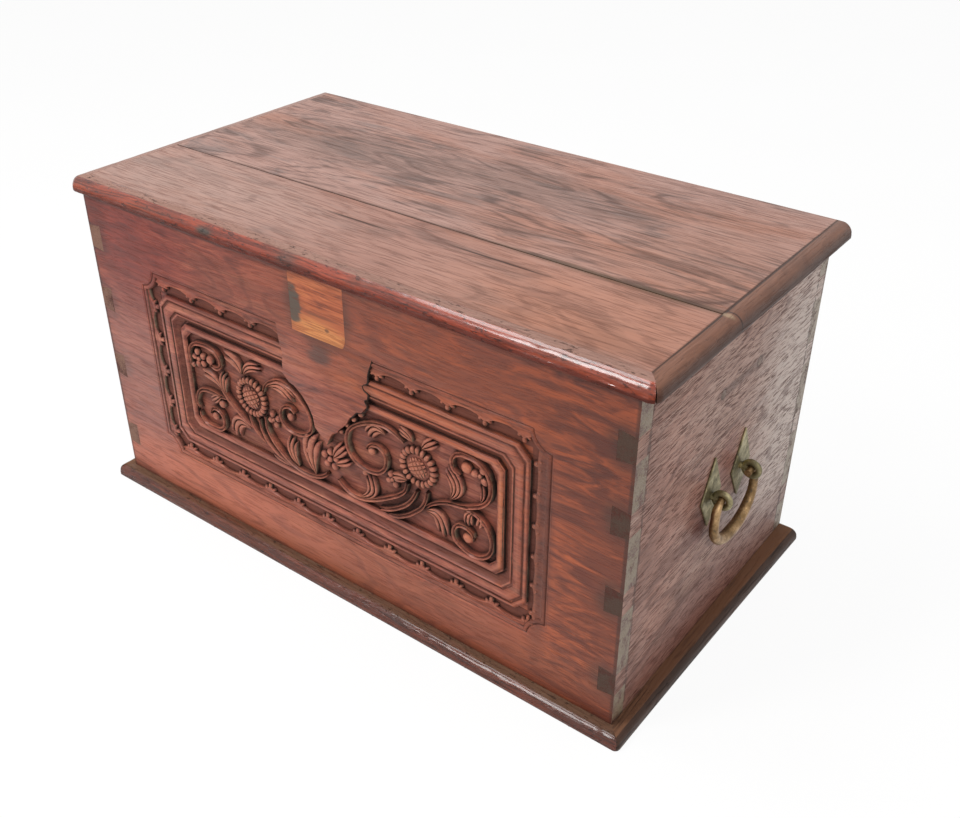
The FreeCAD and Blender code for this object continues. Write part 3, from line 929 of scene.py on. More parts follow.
    def build(self, plain: bpy.types.Material, wood: bpy.types.Material,
              dirt: bpy.types.Material) -> None:
        """Carve the shield, the rim, the frieze, the frame and the field's flowers.

        Args:
            plain: The front board's finish.
            wood: The carving's finish.
            dirt: The dark filling of the shield's edge.
        """
        self.hand_over(self.carve_strip(self.rim_section, self.scooped_path), "carved_rim", wood)
        self.hand_over(self.carve_strip(self.frame_section, self.framed_path), "carved_frame", wood)
        self.carve_frieze(wood)
        self.carve_shield(plain, dirt)
        self.carve_ground(wood)
        for half, name in ((right_half(), "carved_scrolls_right"), (left_half(), "carved_scrolls_left")):
            work = Workpiece()
            half.carve(work)
            self.hand_over(work, name, wood)

    def hand_over(self, work: Workpiece, name: str, wood: bpy.types.Material) -> None:
        """Place a finished carving on the front board."""
        work.place(name, wood, self.body, self.slot, seat=self.seat())

    def scooped_path(self, inset: float) -> list[Spot]:
        """Return the panel's outline with scooped corners, open at the shield.

        Args:
            inset: The distance inside the outline.

        Returns:
            The path from the shield's left side to its right side.
        """
        radius = self.scoop + inset
        reach = math.sqrt(radius ** 2 - inset ** 2)
        across, low, high = self.half_length - inset, self.foot + inset, self.head - inset
        lean = math.asin(inset / radius)

        def corner(side: int, level: int, start: float, end: float) -> list[Spot]:
            """Return the scoop at one corner, from one angle to another."""
            middle = (side * self.half_length, self.head if level > 0 else self.foot)
            angles = [start + (end - start) * i / self.corner_steps for i in range(self.corner_steps + 1)]
            return [polar(middle, radius, angle) for angle in angles]

        quarter = math.pi / 2
        path = stations([(-self.covered, high), (-self.half_length + reach, high)], [24])[:-1]
        path += corner(-1, 1, -lean, lean - quarter)
        path += stations([(-across, self.head - reach), (-across, self.foot + reach)], [24])[1:-1]
        path += corner(-1, -1, quarter - lean, lean)
        path += stations([(-self.half_length + reach, low), (self.half_length - reach, low)], [60])[1:-1]
        path += corner(1, -1, math.pi - lean, quarter + lean)
        path += stations([(across, self.foot + reach), (across, self.head - reach)], [24])[1:-1]
        path += corner(1, 1, 3 * quarter - lean, math.pi + lean)
        return path + stations([(self.half_length - reach, high), (self.covered, high)], [24])[1:]

    def framed_path(self, inset: float) -> list[Spot]:
        """Return the frame's outline with cut corners, open at the shield.

        Args:
            inset: The distance inside the panel's outline.

        Returns:
            The path from the shield's left side to its right side.
        """
        outer, inner = self.frame_inset
        share = min(1.0, max(0.0, (inset - outer) / (inner - outer)))
        cut = self.frame_chamfer + (self.field_chamfer - self.frame_chamfer) * share
        across, low, high = self.half_length - inset, self.foot + inset, self.head - inset
        corners = [(-self.covered, high), (-across + cut, high), (-across, high - cut),
                   (-across, low + cut), (-across + cut, low), (across - cut, low), (across, low + cut),
                   (across, high - cut), (across - cut, high), (self.covered, high)]
        return stations(corners, [20, 2, 18, 2, 48, 2, 18, 2, 20])

    def carve_strip(self, section: Sequence[SoiledAndShaded], path: Callable[[float], list[Spot]]) -> Workpiece:
        """Carry a section of insets and heights round the panel.

        Args:
            section: Insets, heights and shares of dirt and painted shade, in order round the section.
            path: The outline at an inset.

        Returns:
            The strip, with its ends closed.
        """
        work = Workpiece()
        routes = {inset: path(inset) for inset, _, _ in section}
        steps = len(routes[section[0][0]]) - 1

        def place(corner: SoiledAndShaded, share: float) -> Place:
            """Return the place of a section's corner along the path, cut by hand."""
            across, up = routes[corner[0]][round(share * steps)]
            sway = wander((across, up, corner[0] * 3), self.hand_pitch, self.hand_sway)
            return (across + sway, up + sway, min(0.0, corner[1] + sway * 0.5))

        work.bar(section, steps, place)
        return work

    def carve_shield(self, wood: bpy.types.Material, dirt: bpy.types.Material) -> None:
        """Leave the flat shield under the lock, with the dark crack along its right edge.

        Args:
            wood: The shield's finish.
            dirt: The crack's finish.
        """
        work = Workpiece()
        work.slab(self.shield_outline, self.recess_foot, 0.05, 0.6)
        self.hand_over(work, "carved_shield", wood)
        crack = Workpiece()
        route = [spot for spot in self.shield_outline if spot[0] > 30][::-1]
        radii = [0.5 + 0.3 * (i % 3) for i in range(len(route))]
        crack.strand(route, radii, Matrix.Translation((0.5, 0.0, -0.5)), steps=4, sides=1)
        self.hand_over(crack, "carved_shield_crack", dirt)

    def carve_ground(self, wood: bpy.types.Material) -> None:
        """Lay the sunk ground with its tool marks.

        Args:
            wood: Its finish.
        """
        columns, rows = self.ground_faces
        work = Workpiece()

        def place(column: int, row: int) -> Place:
            """Place one point; the outermost ones drop to the recess's floor.

            Args:
                column: The point's number along the ground.
                row: Its number up the ground.

            Returns:
                Its place.
            """
            along = min(1.0, max(0.0, (column - 1) / (columns - 2)))
            upward = min(1.0, max(0.0, (row - 1) / (rows - 2)))
            across = self.ground_half * (2 * along - 1)
            up = self.ground_low + (self.ground_high - self.ground_low) * upward
            if column in (0, columns) or row in (0, rows):
                return (across, up, self.recess_foot)
            marks = wander((across, up, 0.0), 9.0, 0.5) + wander((across, up, 5.0), 3.5, 0.35)
            return (across, up, self.ground_top + marks)

        work.loft(columns, rows, place)
        work.close()
        # The whole sunk ground takes a fixed share of dirt and painted shade.
        work.grime(lambda spot: self.ground_grime)
        self.hand_over(work, "carved_ground", wood)

    def carve_frieze(self, wood: bpy.types.Material) -> None:
        """Carve the cusped band with a three-lobed bud on each cusp.

        Args:
            wood: Its finish.
        """
        work = Workpiece()
        for run in self.runs:
            self.carve_cusps(work, run)
            for i in range(run.buds):
                self.carve_bud(work, run.foot(run.first + i * run.pitch), run.inward)
        floor = self.frieze_floor
        # Darker towards the frieze's ground: dirt and painted shade; its tops go below 0 as wear and
        # painted highlight.
        work.grime(lambda spot: fall(spot.z, floor + 0.6, floor + 4.6) * 1.15 - 0.2)
        self.hand_over(work, "carved_frieze", wood)

    def carve_cusps(self, work: Workpiece, run: FriezeRun) -> None:
        """Carve the scalloped band along one side.

        Args:
            work: The carving.
            run: The side.
        """
        floor = 2.0
        section = ((0.0, -1.9), (0.3, -2.7), (0.6, -2.2), (0.82, -1.6), (0.96, -2.6), (1.0, -5.7),
                   (floor, -5.7), (floor, -6.8), (0.0, -6.8))

        def place(corner: Spot, share: float) -> Place:
            """Place a corner of the section; the band is widest at each bud.

            Args:
                corner: The share of the band's width and the height.
                share: The share of the run that lies behind.

            Returns:
                Its place.
            """
            along = share * run.length
            near = abs(2 * ((along - run.first) / run.pitch % 1) - 1)
            depth = self.frieze_start + corner[0] * (run.base + run.swing * near ** 2.4)
            if corner[0] == floor:
                depth = self.frieze_end
            foot = run.foot(along)
            across, up = foot[0] + run.inward[0] * depth, foot[1] + run.inward[1] * depth
            return (across, up, corner[1] + wander((across, up, 0), 9.0, 0.3))

        work.bar(section, round(run.length / 4), place)

    def carve_bud(self, work: Workpiece, foot: Spot, inward: Spot) -> None:
        """Carve a three-lobed bud that grows inward from a cusp.

        Args:
            work: The carving.
            foot: The cusp's place on the panel's outline.
            inward: The direction to the panel's middle.
        """
        turn = math.atan2(inward[1], inward[0])
        side = (-inward[1], inward[0])
        for reach, aside, long, wide, swing in self.bud_lobes:
            sway = wander((foot[0], foot[1], aside), 11.0, 1.4)
            middle = (foot[0] + inward[0] * reach + side[0] * (aside + sway),
                      foot[1] + inward[1] * reach + side[1] * (aside + sway), self.frieze_floor)
            work.ball(middle, (long, wide, self.bud_rise + sway * 0.4), turn + swing, 10)


@dataclass(frozen=True)
class Stem:
    """A rounded stem that swells along its run.

    Attributes:
        route: The points that it passes through, in millimetres.
        start: Its half width where it starts.
        middle: Its greatest half width.
        end: Its half width where it ends.
        rise: Its greatest height above the ground.
        groove: The share of its height that the gouged line along it takes away.
    """

    route: tuple[Spot, ...]
    start: float = 2.2
    middle: float = 3.3
    end: float = 2.4
    rise: float = 10.0
    groove: float = 0.65

    def carve(self, work: Workpiece, floor: float) -> None:
        """Carve the stem.

        Args:
            work: The carving.
            floor: The ground's height.
        """
        last = len(self.route) - 1
        radii = []
        for i in range(last + 1):
            share = i / last
            edge = self.start + (self.end - self.start) * share
            radii.append(edge + (self.middle - edge) * math.sin(math.pi * share) ** 0.6)
        seat = Matrix.Translation((0, 0, floor)) @ Matrix.Diagonal((1, 1, self.rise / self.middle, 1))
        work.strand(self.route, radii, seat, groove=self.groove)


@dataclass(frozen=True)
class Leaf:
    """A fan-shaped leaf that spreads from its stem into gouged lobes.

    Attributes:
        base: Where it grows from, in millimetres.
        bend: The point that its middle line bends towards.
        tip: Its tip.
        width: Its greatest half width.
        lobes: How many lobes it ends in.
        rise: Its height above the ground.
        lobe_faces: Faces across a lobe.
        long_faces: Faces from its base to its tip.
    """

    base: Spot
    bend: Spot
    tip: Spot
    width: float
    lobes: int = 3
    rise: float = 7.0
    lobe_faces: int = 8
    long_faces: int = 14

    def carve(self, work: Workpiece, floor: float) -> None:
        """Carve the leaf.

        Args:
            work: The carving.
            floor: The ground's height.
        """
        columns, rows = self.lobe_faces * self.lobes, self.long_faces
        start, pull, end = (Vector(point) for point in (self.base, self.bend, self.tip))

        def place(column: int, row: int) -> Place:
            """Place one point of the leaf.

            Args:
                column: The point's number across the leaf.
                row: Its number from base to tip.

            Returns:
                Its place.
            """
            aside = column / columns * 2 - 1
            lobe = abs(math.sin(math.pi * self.lobes * column / columns)) ** 0.7
            along = row / rows * (0.72 + 0.28 * lobe - 0.14 * aside * aside)
            middle = start * (1 - along) ** 2 + pull * 2 * along * (1 - along) + end * along ** 2
            run = (pull - start) * 2 * (1 - along) + (end - pull) * 2 * along
            square = Vector((-run.y, run.x)).normalized()
            swell = math.sin(math.pi / 2 * min(1.0, along / 0.6)) ** 0.8
            spot = middle + square * aside * self.width * swell
            crown = math.sqrt((1 - aside ** 4) * (1 - (row / rows) ** 6))
            return (spot.x, spot.y, floor - 0.5 + self.rise * crown * (0.5 + 0.5 * lobe))

        work.loft(columns, rows, place)
        work.close()


@dataclass(frozen=True)
class Rosette:
    """A great flower head: a ring of petals round a cross-cut boss; all sizes are in millimetres.

    Attributes:
        middle: Its middle.
        petals: Petals in the ring.
        reach: The radius of the petals' middles.
        boss: The boss's radius.
        petal: A petal's half sizes.
        disc: The half sizes of the disc under the boss.
        studs: Studs across the boss.
        turn: The turn of the cross cuts, in radians.
        foot: The height of the boss's rim.
        dome: How much higher its middle is.
        stud: A stud's height.
        cut: The half width of a cross cut.
    """

    middle: Spot
    petals: int = 20
    reach: float = 20.6
    boss: float = 12.5
    petal: Place = (5.0, 3.5, 6.8)
    disc: Place = (18.5, 18.5, 4.2)
    studs: int = 5
    turn: float = 0.5
    foot: float = 2.2
    dome: float = 3.2
    stud: float = 1.9
    cut: float = 1.0

    def carve(self, work: Workpiece, floor: float) -> None:
        """Carve the rosette.

        Args:
            work: The carving.
            floor: The ground's height.
        """
        for i in range(self.petals):
            angle = i * math.tau / self.petals
            work.ball((*polar(self.middle, self.reach, angle), floor), self.petal, angle)
        work.ball((*self.middle, floor), self.disc, sides=28)
        self.carve_boss(work, floor)

    def carve_boss(self, work: Workpiece, floor: float) -> None:
        """Carve the low dome with its cross-cut face.

        Args:
            work: The carving.
            floor: The ground's height.
        """
        start = len(work.bm.faces)

        def place(column: int, row: int) -> Place:
            """Place one point of the dome.

            Args:
                column: The point's number across the dome.
                row: Its number up the dome.

            Returns:
                Its place.
            """
            across, up = column / self.studs * 2 - 1, row / self.studs * 2 - 1
            spot = Vector((across * math.sqrt(1 - up * up / 2), up * math.sqrt(1 - across * across / 2)))
            dome = math.sqrt(max(0.0, 1.0 - spot.length_squared))
            spot.rotate(Matrix.Rotation(self.turn, 2))
            height = floor + self.foot + self.dome * dome
            return (self.middle[0] + self.boss * spot.x, self.middle[1] + self.boss * spot.y, height)

        work.loft(self.studs, self.studs, place)
        work.bm.faces.ensure_lookup_table()
        studs = work.bm.faces[start:]
        bmesh.ops.recalc_face_normals(work.bm, faces=studs)
        lift = self.stud if studs[0].normal.z > 0 else -self.stud
        bmesh.ops.inset_individual(
            work.bm, faces=studs, thickness=self.cut, depth=lift, use_even_offset=True)
        work.close()


@dataclass(frozen=True)
class Bloom:
    """A small open flower or cluster of round lobes.

    Attributes:
        middle: Its middle, in millimetres.
        reach: The radius of the lobes' middles.
        lobes: How many lobes it has.
        long: A lobe's half length.
        wide: A lobe's half width.
        turn: The first lobe's angle, in radians.
        heart: The middle ball's radius; 0 leaves it out.
        rise: A lobe's height.
        heart_rise: The middle ball's height.
    """

    middle: Spot
    reach: float
    lobes: int
    long: float
    wide: float
    turn: float = 0.0
    heart: float = 0.0
    rise: float = 5.8
    heart_rise: float = 7.2

    def carve(self, work: Workpiece, floor: float) -> None:
        """Carve the lobes and the heart.

        Args:
            work: The carving.
            floor: The ground's height.
        """
        for i in range(self.lobes):
            angle = self.turn + i * math.tau / self.lobes
            spot = polar(self.middle, self.reach, angle)
            work.ball((*spot, floor), (self.long, self.wide, self.rise), angle)
        if self.heart:
            work.ball((*self.middle, floor), (self.heart, self.heart, self.heart_rise))


@dataclass
class FloralHalf:
    """One half of the field's ornament: scrolling stems, leaves, blooms, eyes and a rosette.

    Attributes:
        parts: The stems, leaves, flowers and blooms.
        eyes: The middles and radii of the round eyes.
        spread: How much the drawing is stretched from the middle to fill the field.
        floor: The ground's height.
        rise: The greatest height of the motifs before they are flattened.
        flatness: The power that flattens their tops; 1 leaves them round.
    """

    parts: tuple[Stem | Leaf | Rosette | Bloom, ...]
    eyes: tuple[tuple[Spot, float], ...]
    spread: float = 1.0
    floor: float = -8.4
    rise: float = 7.0
    flatness: float = 0.65

    def carve(self, work: Workpiece) -> None:
        """Carve every motif of the half and leave the tool's unevenness.

        Args:
            work: The carving.
        """
        for part in self.parts:
            part.carve(work, self.floor)
        for spot, radius in self.eyes:
            work.ball((*spot, self.floor), (radius, radius, self.rise), 0.0, 16)
        for vert in work.bm.verts:
            vert.co.x *= self.spread
            height = vert.co.z - self.floor
            if height > 0:
                vert.co.z = self.floor + self.rise * min(1.2, height / self.rise) ** self.flatness
            vert.co.z += wander(vert.co, 6.0, 0.45)
        # Darker towards the ground: dirt and painted shade; the motifs' tops go below 0 as wear and
        # painted highlight.
        work.grime(lambda spot: fall(spot.z, self.floor + 2.2, self.floor + 6.2) * 1.35 - 0.35)


def right_half() -> FloralHalf:
    """Return the ornament right of the middle, with the middle flower."""
    return FloralHalf((
        Stem(((107, 236), (91, 243), (76, 245), (60, 241), (43, 232), (31, 221), (26.5, 209),
              (27.5, 197), (33, 187), (42, 181), (55, 178), (68, 180), (78, 188), (82, 198),
              (81, 208), (75, 214), (66, 215), (58, 211), (55, 206))),
        Stem(((109, 184), (106, 173), (98, 164), (87, 156), (73, 147), (58, 139), (42, 134),
              (27, 134), (16, 139), (9, 145))),
        Stem(((122, 180), (118, 170), (109, 157), (95, 145), (80, 136), (69, 132))),
        Stem(((136, 184), (134, 173), (129, 162), (118, 150), (106, 140), (91, 132), (80, 130))),
        Stem(((131, 162), (146, 175), (164, 184), (182, 188), (196, 194), (209, 203), (216, 214),
              (218, 225), (216, 238), (211, 246), (202, 252), (189, 254), (178, 252), (171, 246),
              (169, 237), (172, 230), (179, 226))),
        Stem(((164, 182), (178, 186), (193, 187), (206, 182), (216, 171), (220, 158), (218, 145),
              (211, 136), (198, 131), (184, 134), (174, 141), (171, 151), (175, 160), (184, 163),
              (193, 160), (197, 154))),
        Leaf((166, 190), (186, 212), (158, 228), 11.0, 4),
        Leaf((135, 160), (158, 170), (156, 131), 10.0), Leaf((42, 136), (72, 148), (50, 175), 9.0),
        Leaf((119, 242), (110, 250), (98, 250), 7.0), Leaf((131, 238), (138, 247), (150, 254), 8.0),
        Leaf((82, 236), (62, 243), (56, 219), 9.0), Leaf((4, 172), (10, 182), (24, 196), 9.0),
        Leaf((6, 165), (18, 168), (30, 178), 6.0, 2), Leaf((196, 186), (186, 180), (190, 164), 7.0),
        Leaf((204, 186), (206, 178), (200, 168), 5.0, 2), Leaf((110, 190), (100, 188), (86, 182), 7.0),
        Leaf((204, 203), (210, 214), (203, 226), 5.0, 2, 5.0),
        Rosette((123.8, 211)),
        Bloom((-2.5, 166.5), 9.4, 5, 5.6, 5.2, 1.57, 4.4),
        Bloom((89, 180), 6.4, 4, 5.2, 4.6, 0.5, 3.2),
        Bloom((204, 236), 7.4, 3, 5.6, 5.0, 1.2, 3.0)),
        (((61, 205), 5.6), ((186.5, 238), 7.2), ((188.5, 149.5), 7.2), ((50, 172), 4.4), ((48, 247), 4.2),
         ((38, 236.5), 4.0), ((28, 225.5), 4.0), ((18, 213), 4.0)), 1.02)


def left_half() -> FloralHalf:
    """Return the ornament left of the middle."""
    return FloralHalf((
        Stem(((-105, 219), (-101, 228), (-92, 236), (-77, 243), (-63, 243), (-47, 236), (-36, 227),
              (-28, 214), (-27, 202), (-30, 193), (-39, 186), (-52, 182), (-65, 183), (-74, 189),
              (-77.5, 198), (-75, 207), (-67, 213), (-59, 213), (-54, 208))),
        Stem(((-106, 184), (-104, 170), (-97, 158), (-86, 147), (-74, 139), (-59, 133), (-43, 131),
              (-27, 133), (-14, 139), (-8, 145))),
        Stem(((-117, 177), (-114, 165), (-107, 153), (-96, 144), (-81, 136), (-67, 131))),
        Stem(((-134, 177), (-128, 164), (-119, 155), (-109, 147))),
        Stem(((-130, 160), (-143, 168), (-157, 177), (-170, 187), (-178, 196),
              (-183, 205)), 3.0, 4.2, 2.0),
        Stem(((-231, 210), (-232, 223), (-229, 236), (-222, 243), (-208, 247), (-192, 247),
              (-181, 243), (-176, 234), (-178, 226), (-186, 221), (-194, 222))),
        Stem(((-172, 184), (-185, 183), (-198, 184), (-211, 183), (-221, 179), (-228, 170),
              (-231, 159), (-227, 151))),
        Stem(((-229, 146), (-226, 138), (-216, 132), (-203, 131), (-190, 134), (-183, 143),
              (-183, 153), (-189, 160), (-199, 161), (-206, 156), (-207, 151))),
        Leaf((-172, 190), (-182, 206), (-170, 220), 8.0),
        Leaf((-178, 196), (-196, 212), (-218, 206), 8.0, 2),
        Leaf((-134, 157), (-166, 168), (-164, 130), 11.5),
        Leaf((-139, 230), (-146, 248), (-174, 246), 10.0, 2),
        Leaf((-136, 230), (-132, 248), (-104, 247), 7.5),
        Leaf((-94, 230), (-70, 244), (-55, 220), 10.0), Leaf((-54, 137), (-74, 152), (-59, 175), 9.5),
        Leaf((-26, 137), (-46, 170), (-20, 194), 15.0),
        Leaf((-66, 131), (-84, 130), (-104, 136), 5.0, 2, 5.5),
        Leaf((-184, 184), (-192, 178), (-206, 168), 7.0),
        Rosette((-128.4, 202), 22, 21.6, 14.5),
        Bloom((-217, 224), 8.6, 5, 5.4, 4.8, 0.6, 3.4),
        Bloom((-92, 185), 6.8, 4, 5.2, 4.6, 0.4, 3.0)),
        (((-63, 200), 5.8), ((-197, 228), 6.6), ((-200, 149), 6.2), ((-184, 172), 6.0), ((-37, 165), 4.6),
         ((-229, 212), 4.0)), 0.975)


class Edge(Enum):
    """The edges of the chest that carry a moulding."""

    FRONT = "front"
    LEFT = "left"
    RIGHT = "right"


@dataclass
class Moulding:
    """A worn moulding of round section along three edges, mitred at the front corners; sizes in metres.

    Attributes:
        group: The part of the chest that it trims.
        body: The body that it moves with.
        slot: The record's material slot.
        shelf: The flat width beside the boards.
        fillet: The height of the plain lower edge.
        dents: How deep wear and knocks go.
        flare: How far the right length has sprung out at its rear end.
        corner: How far the mitres have opened at their tips.
        tip: The radius of the worn front corners in plan.
        end_shelf: The flat width on the lengths at the chest's ends.
        arc_steps: Faces round the section's arc.
        ease: The rounding of the inner upper edge.
        proud: How far the worn face stands out past the plain one.
        knock: The length of the broad dents.
        nick: The length of the small dents.
        front_steps: Faces along the front length.
        end_steps: Faces along an end length.
    """

    group: str
    body: str
    slot: str
    shelf: float
    fillet: float
    dents: float
    flare: float = 0.0
    corner: float = 0.0004
    tip: float = 0.004
    end_shelf: float = 0.006

    arc_steps: int = 10
    ease: float = 0.0004
    proud: float = 0.00015
    knock: float = 0.045
    nick: float = 0.012
    front_steps: int = 200
    end_steps: int = 80

    def build(self, finishes: dict[Edge, bpy.types.Material]) -> None:
        """Make the three lengths.

        Args:
            finishes: The finish of each length.
        """
        for edge, wood in finishes.items():
            self.length(edge, wood)

    def section(self, reach: float, height: float, shelf: float) -> list[Spot]:
        """Return the section: distances out from the boards and heights.

        Args:
            reach: How far the moulding stands out.
            height: Its height.
            shelf: Its flat width beside the boards.

        Returns:
            The section's corners, in order.
        """
        out, rise = reach - shelf, height - self.fillet
        points = [(0.0, 0.0), (0.0, height - self.ease), (self.ease * 0.6, height),
                  (shelf * 0.6, height), (shelf, height)]
        for i in range(1, self.arc_steps + 1):
            angle = math.pi / 2 * i / self.arc_steps
            points.append((shelf + out * math.sin(angle), self.fillet + rise * math.cos(angle)))
        worn = reach + self.proud
        return points + [(worn, self.fillet * 0.85), (worn, self.fillet * 0.2),
                         (reach - 0.0004, 0.0003), (reach - 0.0016, 0.0)]

    def rounded(self, spot: Vector, low: Vector, high: Vector) -> Vector:
        """Round the worn front corners in plan.

        Args:
            spot: A place on the moulding.
            low: The front length's low corner.
            high: The front length's high corner.

        Returns:
            The place after the corner is rounded off.
        """
        across, out = abs(spot.x) - high.x + self.tip, low.y + self.tip - spot.y
        if across > 0 and out > 0:
            pull = 1 - max(across, out) / math.hypot(across, out)
            spot -= Vector((math.copysign(across * pull, spot.x), -out * pull, 0))
        return spot

    def length(self, edge: Edge, wood: bpy.types.Material) -> None:
        """Make one length.

        Args:
            edge: The edge of the chest that it runs along.
            wood: Its finish.
        """
        name = f"{self.group}_{edge.value}_moulding"
        low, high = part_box(name)
        front_low, front_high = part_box(f"{self.group}_front_moulding")
        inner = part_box(f"{self.group}_right_moulding")[0].x
        end_reach, front_reach = front_high.x - inner, front_high.y - front_low.y
        reach = front_reach if edge is Edge.FRONT else end_reach

        def place(corner: Spot, share: float) -> Place:
            """Place a corner of the section; the ends at the front are mitred.

            Args:
                corner: The distance out from the boards and the height.
                share: The share of the length that lies behind.

            Returns:
                Its place.
            """
            out, level = corner
            if edge is Edge.FRONT:
                share = (1 - math.cos(math.pi * share)) / 2
                mitre = out / front_reach
                half = inner + mitre * end_reach - self.corner * mitre ** 3
                spot = Vector(((2 * share - 1) * half, high.y - out, low.z + level))
                away = Vector((0, -1, 0))
            else:
                side = 1 if edge is Edge.RIGHT else -1
                share = share ** 1.4
                mitre = out / end_reach
                start = front_high.y - mitre * front_reach + self.corner * mitre ** 3
                spot = Vector((side * (inner + out), start + (high.y - start) * share, low.z + level))
                away = Vector((side, 0, 0))
            worn = min(1.0, out / reach) * self.dents if level > self.fillet else 0.0
            dent = abs(wander(spot, self.knock, worn * 0.6) + wander(spot, self.nick, worn * 0.4))
            spot -= (away + Vector((0, 0, 0.8))) * dent
            if edge is Edge.RIGHT:
                spot += away * self.flare * share ** 1.5 * min(1.0, out / reach)
            return tuple(self.rounded(spot, front_low, front_high))

        work = Workpiece()
        if edge is Edge.FRONT:
            shelf, steps = self.shelf, self.front_steps
        else:
            shelf, steps = self.end_shelf, self.end_steps
        work.bar(self.section(reach, high.z - low.z, shelf), steps, place)
        work.place(f"{name}_worn", wood, self.body, self.slot, stands_for=[name])


@dataclass
class BailHandle:
    """A swinging brass bail with its eyes and kite-shaped plates.

    Attributes:
        side: 1 for the right end, -1 for the left.
        brass: The finish of the eyes and plates.
        grip: The finish of the bail.
        ring_radius: The radius of an eye's ring at the middle of its bar, in metres.
        ring_depth: The ring bar's thickness as a share of its width.
        shank: The radii of an eye's shank, from the plate to the ring.
        pin_radius: The radius of the bail's pins.
        pin_length: How far a pin reaches in from the bail's side.
        side_radius: The radius of the bail's sides.
        grip_radius: The radius where the hand holds it.
        worn: The width of the plates' worn edges.
        slot: The record's material slot.
    """

    side: int
    brass: bpy.types.Material
    grip: bpy.types.Material

    ring_radius: float = 0.0082
    ring_depth: float = 0.85
    shank: Place = (0.0042, 0.0038, 0.0038)
    pin_radius: float = 0.0040
    pin_length: float = 0.022
    side_radius: float = 0.0058
    grip_radius: float = 0.0066
    worn: float = 0.0009
    slot: str = "handle_brass"

    def build(self) -> None:
        """Make the bail and dress the eyes and plates."""
        word = "right" if self.side > 0 else "left"
        self.bail(word)
        for end in ("front", "rear"):
            soften(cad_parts[f"{word}_{end}_handle_plate"], self.worn, 3, self.brass)
            self.eye(f"{word}_{end}_handle_eye")

    def eye(self, name: str) -> None:
        """Make an eye: a ring round the bail's pin on a short shank.

        Args:
            name: The node that it stands for.
        """
        low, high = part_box(name)
        middle = (low + high) / 2
        outer = (high.z - low.z) / 2
        wall = outer - self.ring_radius
        heart = Vector((high.x - outer if self.side > 0 else low.x + outer, middle.y, middle.z))
        work = Workpiece()
        section = bmesh.ops.create_circle(work.bm, segments=12, radius=wall)
        seat = Matrix.Translation(heart + Vector((self.ring_radius, 0, 0)))
        seat = seat @ Matrix.Diagonal((1, self.ring_depth, 1, 1))
        bmesh.ops.transform(work.bm, matrix=seat, verts=section["verts"])
        edges = list({edge for vert in section["verts"] for edge in vert.link_edges})
        bmesh.ops.spin(work.bm, geom=section["verts"] + edges, cent=heart, axis=(0, 1, 0), angle=math.tau,
                       steps=32, use_merge=True)
        back = low.x if self.side > 0 else high.x
        waist = (back + heart.x) / 2 - self.side * MM
        stem = [(back, heart.z), (waist, heart.z), (heart.x - self.side * wall, heart.z)]
        plane = Matrix(((1, 0, 0, 0), (0, 0, 1, middle.y), (0, 1, 0, 0), (0, 0, 0, 1)))
        work.strand(stem, self.shank, plane, 4, 3)
        work.place(name + "_ring", self.brass, "chest", self.slot, stands_for=[name])

    def bail(self, word: str) -> None:
        """Make the bail: a round bar bent down and thickest where the hand holds it.

        Args:
            word: The end of the chest that it hangs on.
        """
        low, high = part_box(f"{word}_bail")
        middle = (low.y + high.y) / 2
        half = (high.y - low.y) / 2 - self.side_radius
        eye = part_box(f"{word}_front_handle_eye")
        axis = (eye[0].z + eye[1].z) / 2
        bottom = low.z + self.grip_radius - 0.0004
        pin = half - self.pin_length
        route = [(-pin, axis), (-half + 0.008, axis), (-half + 0.0012, axis - 0.006),
                 (-half, axis - 0.018), (-half * 0.985, axis - 0.034), (-half * 0.80, bottom + 0.0135),
                 (-half * 0.42, bottom + 0.0022), (0.0, bottom)]
        radii = [self.pin_radius, self.pin_radius, 0.0050, 0.0049, 0.0053, 0.0060, 0.0065,
                 self.grip_radius]
        route += [(-across, up) for across, up in reversed(route[:-1])]
        radii += list(reversed(radii[:-1]))
        plane = Matrix(((0, 0, 1, (low.x + high.x) / 2), (1, 0, 0, middle), (0, 1, 0, 0), (0, 0, 0, 1)))
        work = Workpiece()
        work.strand(route, radii, plane, steps=10, sides=4)
        work.place(f"{word}_bail_bar", self.grip, f"{word}_bail", self.slot, stands_for=[f"{word}_bail"])


def soften(node: bpy.types.Object, width: float, segments: int, material: bpy.types.Material) -> None:
    """Give a frame node its finish and worn edges.

    Args:
        node: The node.
        width: The width of the worn edge, in metres; 0 leaves the edges sharp.
        segments: Faces across the worn edge.
        material: The finish.
    """
    for slot in node.material_slots:
        slot.material = material
    if width:
        weld = node.modifiers.new("weld", "WELD")
        weld.merge_threshold = 0.00001
        worn = node.modifiers.new("worn_edges", "BEVEL")
        worn.width = width
        worn.segments = segments
        worn.limit_method = "ANGLE"
        worn.angle_limit = math.radians(35)
    LOG.info("%s: dressed", node.name)


@dataclass
class Boards:
    """The boards, battens, nails, screws and hinges that keep the frame's own shape.

    Attributes:
        worn: The width of the worn edges, in metres.
    """

    worn: float = 0.0006

    def dress(self, finishes: dict[str, bpy.types.Material]) -> None:
        """Give each node its finish by its first matching name.

        Args:
            finishes: Finishes by a part of the nodes' names.
        """
        edges = {"front_board": 0.0, "lock_patch": 0.0, "old_hole_plugs": 0.0, "lid_front_board": 0.0003}
        for name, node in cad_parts.items():
            for key, material in finishes.items():
                if key in name:
                    small = "nail" in name or "screw" in name or "pin" in name
                    soften(node, edges.get(name, 0.0 if small else self.worn), 2, material)
                    break


